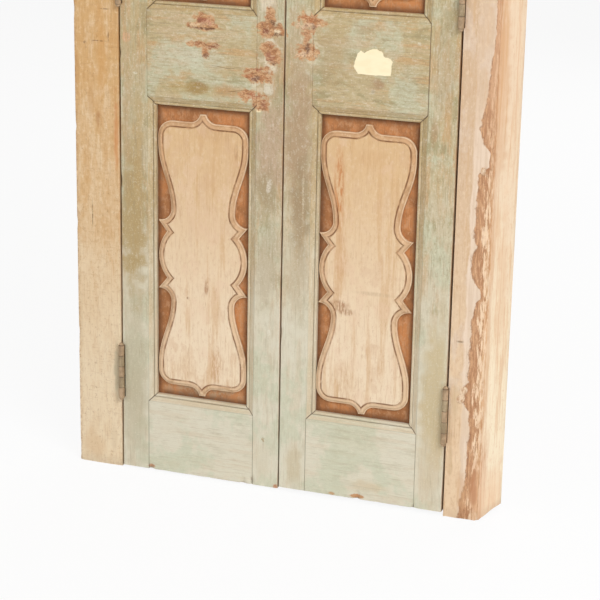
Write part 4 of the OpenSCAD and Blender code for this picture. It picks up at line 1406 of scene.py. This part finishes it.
def bare_wood():
    """Pale bare pine with fine upright grain, a browner border with a painted highlight on its outer rim, and
    a broken brown groove; painted shade with soiling lies in the border's hollow, its groove and at its foot.
    """
    f = Finish("bare_wood", 0.72)
    fibre = f.noise((0.0018, 0.0018, 0.05), 5, 0.68)
    dashes = f.noise((0.0026, 0.0026, 0.016), 4, 0.65, 6.0)
    broad = f.noise((0.016, 0.016, 0.2), 4, 0.6, 2.4)
    cloud = f.noise((0.045, 0.045, 0.07), 5, 0.62, 8.0)
    mottle = f.noise((0.007, 0.007, 0.012), 5, 0.72, 3.6)
    height = f.plus(f.along("Z"), f.swing(cloud, 0.35))
    colour = f.mix(f.ramp(height, 0.25, 0.8), linear(240, 219, 190), linear(220, 184, 138))
    colour = f.lay(colour, (212, 170, 122), broad, 0.52, 0.62, 0.45)
    colour = f.lay(colour, (234, 204, 176), cloud, 0.52, 0.62, 0.35)
    colour = f.lay(colour, (212, 172, 134), cloud, 0.46, 0.36, 0.35)
    colour = f.lay(colour, (242, 222, 192), mottle, 0.53, 0.64, 0.22)
    colour = f.lay(colour, (206, 164, 122), mottle, 0.46, 0.36, 0.25)
    colour = f.lay(colour, (198, 154, 110), fibre, 0.46, 0.34, 0.4)
    colour = f.lay(colour, (180, 130, 86), dashes, 0.6, 0.7, 0.35)
    for x, z, wide, high, tone, amount in WOOD_MARKS:
        share = f.times(f.spot(x, z, wide, high), f.ramp(dashes, 0.38, 0.6, 0.1, amount))
        colour = f.mix(share, colour, linear(*tone))
    band = f.mark("band")
    brown = f.mix(f.ramp(height, 0.2, 0.8), linear(226, 194, 158), linear(204, 160, 118))
    brown = f.lay(brown, (178, 132, 88), cloud, 0.49, 0.38, 0.6)
    brown = f.lay(brown, (232, 202, 164), mottle, 0.5, 0.62, 0.5)
    colour = f.mix(f.ramp(band, 0.01, 0.1, 0, 0.85), colour, brown)
    # Painted highlight along the border's outer rim, with rubbed wear.
    rubbed = f.times(f.ramp(band, 0.78, 0.9), f.ramp(cloud, 0.35, 0.6, 0.25, 0.8))
    colour = f.mix(rubbed, colour, linear(236, 210, 176))
    # Painted shade with soiling in the border's hollow, its groove and at its foot.
    gaps = f.noise((0.02, 0.02, 0.026), 4, 0.6, 4.7)
    dirt_and_shade = f.times(f.mark("grime_and_shade"), f.ramp(gaps, 0.4, 0.56, 0.3, 0.85))
    colour = f.mix(dirt_and_shade, colour, linear(140, 90, 50))
    return f.done(colour, f.plus(fibre, dashes), 0.25 * MM, f.ramp(broad, 0.3, 0.7, 0.64, 0.8))


def tan_paint(name, grain, warm, pale):
    """Thin tan paint over pine, warm and orange towards the top and pale below."""
    f = Finish(name, 0.75)
    fibre = f.noise(stretch(grain, 0.002, 0.05), 5, 0.66, 1.0)
    streak = f.noise(stretch(grain, 0.016, 0.07), 5, 0.68, 4.4)
    cloud = f.noise((0.09, 0.09, 0.16), 4, 0.55, 9.0)
    mottle = f.noise((0.009, 0.009, 0.012), 5, 0.7, 6.2)
    scratch = f.noise((0.024, 0.024, 0.0016), 4, 0.6, 3.3)
    speck = f.noise((0.004, 0.004, 0.007), 4, 0.65, 2.0)
    height = f.plus(f.along("Z"), f.swing(cloud, 0.5))
    colour = f.mix(f.ramp(height, 0.05, 0.95), linear(*pale), linear(*warm))
    upper = f.ramp(height, 0.2, 0.8, 0.35, 1)
    colour = f.lay(colour, (204, 154, 94), streak, 0.51, 0.62, 0.45, upper)
    colour = f.lay(colour, (234, 212, 178), streak, 0.48, 0.38, 0.4)
    colour = f.lay(colour, (196, 150, 98), mottle, 0.48, 0.38, 0.4, upper)
    colour = f.lay(colour, (238, 216, 180), mottle, 0.53, 0.63, 0.35)
    colour = f.lay(colour, (186, 140, 92), fibre, 0.47, 0.36, 0.3)
    colour = f.lay(colour, (236, 212, 176), fibre, 0.54, 0.64, 0.25)
    colour = f.lay(colour, (176, 130, 84), scratch, 0.58, 0.68, 0.3)
    colour = f.lay(colour, (164, 118, 74), speck, 0.6, 0.68, 0.4)
    return f, colour, fibre, speck


def left_jamb_wood():
    """Tan paint with its stains and cracks, worn along the arris."""
    f, colour, fibre, speck = tan_paint("left_jamb_wood", "z", (212, 170, 116), (236, 217, 186))
    colour = f.stained(colour, "stain")
    for x, z, wide, high in JAMB_CRACKS:
        crack = f.times(f.spot(x, z, wide, high), f.ramp(speck, 0.36, 0.56, 0.1, 0.8))
        colour = f.mix(crack, colour, linear(140, 98, 60))
    worn = f.times(f.mark("worn"), f.ramp(speck, 0.4, 0.6))
    colour = f.mix(f.times(worn, 0.6), colour, linear(170, 124, 84))
    # Painted shade on the reveal in the hinge gap, and soiling at the foot.
    colour = f.mix(f.times(f.mark("grime_and_shade"), 0.6), colour, linear(86, 62, 42))
    return f.done(colour, f.plus(fibre, f.times(speck, 0.5)), 0.35 * MM)


def head_wood():
    """The same tan paint with level grain."""
    f, colour, fibre, speck = tan_paint("head_wood", "x", (210, 170, 118), (214, 178, 128))
    return f.done(colour, f.plus(fibre, f.times(speck, 0.5)), 0.35 * MM)


def peach_coat(f, height, fibre, streak, cloud, mottle):
    """Peach paint, with the paler undercoat that shows where it has worn thin."""
    paint = f.mix(f.ramp(height, 0.1, 0.9), linear(234, 206, 172), linear(214, 184, 152))
    paint = f.lay(paint, (212, 174, 132), streak, 0.52, 0.62, 0.5)
    paint = f.lay(paint, (226, 206, 188), cloud, 0.5, 0.6, 0.5)
    paint = f.lay(paint, (206, 166, 124), mottle, 0.47, 0.37, 0.35)
    paint = f.lay(paint, (242, 220, 192), mottle, 0.53, 0.63, 0.35)
    paint = f.lay(paint, (196, 154, 114), fibre, 0.46, 0.35, 0.4)
    faded = f.plus(f.along("X"), f.swing(cloud, 0.03))
    undercoat = f.mix(f.ramp(streak, 0.42, 0.58), linear(228, 204, 180), linear(242, 222, 202))
    undercoat = f.lay(undercoat, (212, 178, 146), mottle, 0.54, 0.64, 0.35)
    coated = f.times(f.ramp(faded, 0.388, 0.393), f.ramp(height, 0.7, 0.9, 0.75, 0.2))
    return f.mix(coated, paint, undercoat)


def flaked_wood(f, height, strip, fibre, cloud, speck, rot):
    """Brown wood under the lost paint, torn to pale fibres towards the arris."""
    under = f.mix(f.ramp(rot, 0.42, 0.56), linear(184, 134, 96), linear(212, 166, 126))
    under = f.lay(under, (162, 114, 78), speck, 0.54, 0.64, 0.45)
    under = f.lay(under, (160, 112, 76), fibre, 0.47, 0.36, 0.45)
    under = f.lay(under, (216, 172, 136), height, 0.75, 0.95, 0.55)
    torn_to = f.plus(f.mark("strip"), f.swing(rot, 2.4))
    pale = f.mix(f.ramp(rot, 0.44, 0.56), linear(224, 180, 138), linear(246, 220, 188))
    fibres = f.times(f.ramp(torn_to, 0.5, 0.7, 0, 0.9), f.ramp(height, 0.6, 0.8, 1, 0.3))
    under = f.mix(fibres, under, pale)
    arris_line = f.times(f.ramp(strip, 0.86, 0.96), f.ramp(strip, 1.14, 1.02))
    broken = f.times(arris_line, f.ramp(cloud, 0.44, 0.54, 0, 0.7))
    return f.mix(broken, under, linear(192, 134, 86))


def hewn_pine(f, height, strip, fibre, streak, mottle):
    """Bare pine on the hewn flank, browner by the arris and at the foot."""
    bare = f.mix(f.ramp(height, 0.1, 0.9), linear(255, 238, 208), linear(242, 216, 186))
    bare = f.lay(bare, (230, 186, 140), streak, 0.51, 0.62, 0.55)
    bare = f.lay(bare, (226, 182, 138), mottle, 0.46, 0.36, 0.35)
    bare = f.lay(bare, (218, 170, 122), fibre, 0.46, 0.35, 0.4)
    brown = f.times(f.ramp(strip, 2.1, 1.1), f.ramp(streak, 0.42, 0.56, 0.3, 0.95))
    brown = f.times(brown, f.ramp(height, 0.5, 0.75, 0.5, 1))
    bare = f.mix(brown, bare, linear(216, 166, 122))
    foot = f.times(f.ramp(height, 0.26, 0.06), f.ramp(strip, 2.6, 1.1))
    foot = f.times(foot, f.ramp(streak, 0.42, 0.56, 0.35, 0.9))
    return f.mix(foot, bare, linear(210, 146, 102))


def right_jamb_wood():
    """Peach paint in front, a brown flaked strip along the arris and pale pine on the hewn flank."""
    f = Finish("right_jamb_wood", 0.76)
    fibre = f.noise((0.0022, 0.0022, 0.05), 5, 0.66, 1.3)
    streak = f.noise((0.009, 0.009, 0.2), 5, 0.64, 5.0)
    cloud = f.noise((0.05, 0.05, 0.09), 5, 0.62, 3.0)
    mottle = f.noise((0.007, 0.007, 0.012), 5, 0.72, 4.1)
    speck = f.noise((0.0035, 0.0035, 0.0045), 4, 0.65, 7.0)
    crumble = f.noise((0.005, 0.005, 0.012), 5, 0.72, 2.2)
    rot = f.noise((0.0042, 0.0042, 0.03), 5, 0.7, 6.4)
    height = f.plus(f.along("Z"), f.swing(cloud, 0.5))
    strip = f.plus(f.mark("strip"), f.swing(crumble, 0.5))
    paint = peach_coat(f, height, fibre, streak, cloud, mottle)
    under = flaked_wood(f, height, strip, fibre, cloud, speck, rot)
    bare = hewn_pine(f, height, strip, fibre, streak, mottle)
    colour = f.mix(f.ramp(strip, 1.02, 1.45), under, bare)
    shade = f.times(f.ramp(strip, 0.2, 0.04), f.ramp(mottle, 0.44, 0.54))
    colour = f.mix(f.times(shade, 0.5), colour, linear(140, 98, 68))
    colour = f.mix(f.ramp(strip, 0.05, -0.05), colour, paint)
    colour = f.stained(colour, "stain", 0, streak)
    colour = f.lay(colour, (186, 142, 106), speck, 0.6, 0.7, 0.16)
    # Painted shade on the reveal in the hinge gap, and soiling at the foot.
    colour = f.mix(f.times(f.mark("grime_and_shade"), 0.6), colour, linear(110, 76, 48))
    relief = f.plus(fibre, f.times(f.ramp(strip, 0.05, -0.05), 1.5))
    return f.done(colour, relief, 0.5 * MM)


def peg_wood():
    """End grain of the pegs under thin paint."""
    f = Finish("peg_wood", 0.8)
    fibre = f.noise((0.002, 0.02, 0.002), 4)
    colour = f.mix(f.ramp(fibre, 0.35, 0.65), linear(168, 146, 108), linear(206, 194, 166))
    return f.done(colour, fibre, 0.3 * MM)


def hinge_iron(name, dull, light):
    """Old iron under worn paint: grey-brown, painted shade with rust at the joints between the knuckles, paint
    left in patches.
    """
    f = Finish(name, 0.58)
    patch = f.noise((0.012, 0.012, 0.018), 5, 0.65)
    grit = f.noise((0.0025, 0.0025, 0.0025), 4, 0.65, 3.0)
    colour = f.mix(f.ramp(patch, 0.4, 0.62), linear(*dull), linear(*light))
    colour = f.lay(colour, (112, 76, 50), grit, 0.58, 0.72, 0.7)
    # Painted shade with rust at the joints between the knuckles.
    colour = f.mix(f.times(f.mark("seam_rust_and_shade"), 0.7), colour, linear(88, 64, 42))
    f.shader.inputs["Metallic"].default_value = 0.25
    return f.done(colour, grit, 0.25 * MM, f.ramp(patch, 0.3, 0.7, 0.45, 0.7))


def flake_paint():
    """The underside and edge of old paint, paler than its weathered face."""
    f = Finish("flake_paint", 0.8)
    fleck = f.noise((0.004, 0.004, 0.006), 4, 0.65, 5.5)
    colour = f.mix(f.ramp(fleck, 0.42, 0.58), linear(206, 166, 130), linear(238, 212, 182))
    return f.done(colour, fleck, 0.2 * MM)


def old_paper():
    """Cream paper with faint folds and flecks."""
    f = Finish("old_paper", 0.9)
    fleck = f.noise((0.006, 0.006, 0.006), 4, 0.6)
    fold = f.noise((0.03, 0.03, 0.012), 3, 0.5, 2.0)
    colour = f.mix(f.ramp(fold, 0.4, 0.7, 0, 0.6), linear(254, 241, 204), linear(250, 232, 190))
    colour = f.lay(colour, (240, 216, 170), fleck, 0.62, 0.8, 0.4)
    return f.done(colour, f.plus(fold, fleck), 0.15 * MM)


def floor():
    """A wide pale floor that the camera sees as white, with the door's own soft shadow on it."""
    half = 40
    mesh = bpy.data.meshes.new("floor")
    corners = [(-half, -half, 0), (half, -half, 0), (half, half, 0), (-half, half, 0)]
    mesh.from_pydata(corners, [], [(0, 1, 2, 3)])
    ground = bpy.data.objects.new("floor", mesh)
    bpy.context.scene.collection.objects.link(ground)
    material = bpy.data.materials.new("floor_white")
    material.use_nodes = True
    nodes, links = material.node_tree.nodes, material.node_tree.links
    shade = nodes["Principled BSDF"]
    shade.inputs["Base Color"].default_value = (0.94, 0.94, 0.94, 1)
    shade.inputs["Roughness"].default_value = 0.9
    shade.inputs["Specular IOR Level"].default_value = 0.1
    glow = nodes.new("ShaderNodeEmission")
    seen = nodes.new("ShaderNodeMixShader")
    share = nodes.new("ShaderNodeMath")
    share.operation = "MULTIPLY"
    share.inputs[1].default_value = 0.9
    links.new(seen_ray(nodes, links), share.inputs[0])
    links.new(share.outputs[0], seen.inputs["Fac"])
    links.new(shade.outputs[0], seen.inputs[1])
    links.new(glow.outputs[0], seen.inputs[2])
    links.new(seen.outputs[0], nodes["Material Output"].inputs["Surface"])
    mesh.materials.append(material)


def seen_ray(nodes, links):
    """1 for rays from the camera and for what gloss and glass show."""
    path = nodes.new("ShaderNodeLightPath")
    total = path.outputs["Is Camera Ray"]
    for name in ("Is Glossy Ray", "Is Transmission Ray"):
        more = nodes.new("ShaderNodeMath")
        more.operation = "MAXIMUM"
        links.new(total, more.inputs[0])
        links.new(path.outputs[name], more.inputs[1])
        total = more.outputs[0]
    return total


def sky():
    """White where it is seen, and a softer even light on the door."""
    world = bpy.data.worlds.new("studio")
    bpy.context.scene.world = world
    world.use_nodes = True
    nodes, links = world.node_tree.nodes, world.node_tree.links
    light = nodes["Background"]
    light.inputs["Color"].default_value = (1, 0.985, 0.96, 1)
    light.inputs["Strength"].default_value = 0.36
    white = nodes.new("ShaderNodeBackground")
    white.inputs["Color"].default_value = (1, 1, 1, 1)
    white.inputs["Strength"].default_value = 1
    seen = nodes.new("ShaderNodeMixShader")
    links.new(seen_ray(nodes, links), seen.inputs["Fac"])
    links.new(light.outputs[0], seen.inputs[1])
    links.new(white.outputs[0], seen.inputs[2])
    links.new(seen.outputs[0], nodes["World Output"].inputs["Surface"])


def lamp(name, place, aim, size, power):
    """A soft square lamp that faces a point."""
    light = bpy.data.lights.new(name, "AREA")
    light.size = size
    light.energy = power
    holder = bpy.data.objects.new(name, light)
    bpy.context.scene.collection.objects.link(holder)
    holder.location = place
    holder.rotation_euler = (Vector(aim) - Vector(place)).to_track_quat("-Z", "Y").to_euler()


def camera():
    """The photograph's view: above the lock rails, to the right, looking down."""
    right = Vector((0.94037, 0.33967, 0.01809))
    down = Vector((0.11539, -0.26855, -0.95633))
    forward = Vector((-0.31998, 0.90139, -0.29173))
    data = bpy.data.cameras.new("camera")
    data.sensor_width = 36
    data.lens = 114.2
    data.clip_end = 200
    holder = bpy.data.objects.new("camera", data)
    bpy.context.scene.collection.objects.link(holder)
    turn = Matrix((right, -down, -forward)).transposed().to_4x4()
    holder.matrix_world = Matrix.Translation((1.28690, -3.54789, 1.56137)) @ turn
    bpy.context.scene.camera = holder


def dress_leaf(leaf, upright, level, ground, wood, pegs):
    """All the wooden pieces of one leaf."""
    for kind in ("hinge", "meeting"):
        stile(leaf, kind, upright)
    foot, lower_z0, lower_z1, upper_z0, upper_z1, top = leaf.heights
    rail(leaf, "bottom", foot, lower_z0, True, False, level)
    rail(leaf, "lock", lower_z1, upper_z0, True, True, level)
    rail(leaf, "top", upper_z1, top, False, True, level)
    for place in leaf.panels:
        panel(leaf, place, ground)
        cartouche(leaf, place, wood)
    leaf_pegs(leaf, pegs)


def dress_hinge(side, hinge, leaf_iron, jamb_iron):
    """The plates and pin of one hinge, with painted shade and rust at the joints between the knuckles."""
    ends = knuckle_ends(side, hinge)
    for part, body, iron in (
        ("leaf_plate", f"{side}_leaf", leaf_iron),
        ("jamb_plate", "frame", jamb_iron),
        ("hinge_pin", "frame", jamb_iron),
    ):
        node = f"{side}_{hinge}_{part}"
        eased_copy(node, 0.6 * MM, body, "hinge_iron", iron, f"{node}_worn", ends)


def refinish(node, finish):
    """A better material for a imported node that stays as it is."""
    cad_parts[node].material_slots[0].material = finish


bpy.context.scene.view_settings.view_transform = "Standard"
camera()
sky()
floor()
lamp("key", (3.3, -3.2, 4.0), (0, 0, 0.8), 2.6, 190)
lamp("fill", (-3.2, -4.0, 2.4), (0, 0, 0.8), 3.5, 52)
lamp("behind", (0.5, 4.5, 3.5), (0, 0, 1.0), 3.5, 72)

stile_finish = leaf_paint("stile_paint", "z")
rail_finish = leaf_paint("rail_paint", "x")
ground_finish = panel_ground()
wood_finish = bare_wood()
peg_finish = peg_wood()
leaf_iron = hinge_iron("leaf_hinge_iron", (152, 132, 102), (184, 164, 132))
jamb_iron = hinge_iron("jamb_hinge_iron", (160, 134, 104), (192, 164, 132))

jamb("left", left_jamb_wood())
jamb("right", right_jamb_wood())
paint_flakes(flake_paint())
for leaf in LEAVES.values():
    dress_leaf(leaf, stile_finish, rail_finish, ground_finish, wood_finish, peg_finish)
eased_copy("head", 2 * MM, "frame", "head_wood", head_wood(), "head_worn")
refinish("frame_pegs", peg_finish)
for side, hinge in itertools.product(SIDES, HINGES):
    dress_hinge(side, hinge, leaf_iron, jamb_iron)
for side in SIDES:
    refinish(f"{side}_leaf_screws", leaf_iron)
    refinish(f"{side}_jamb_screws", leaf_iron)
paper(old_paper())
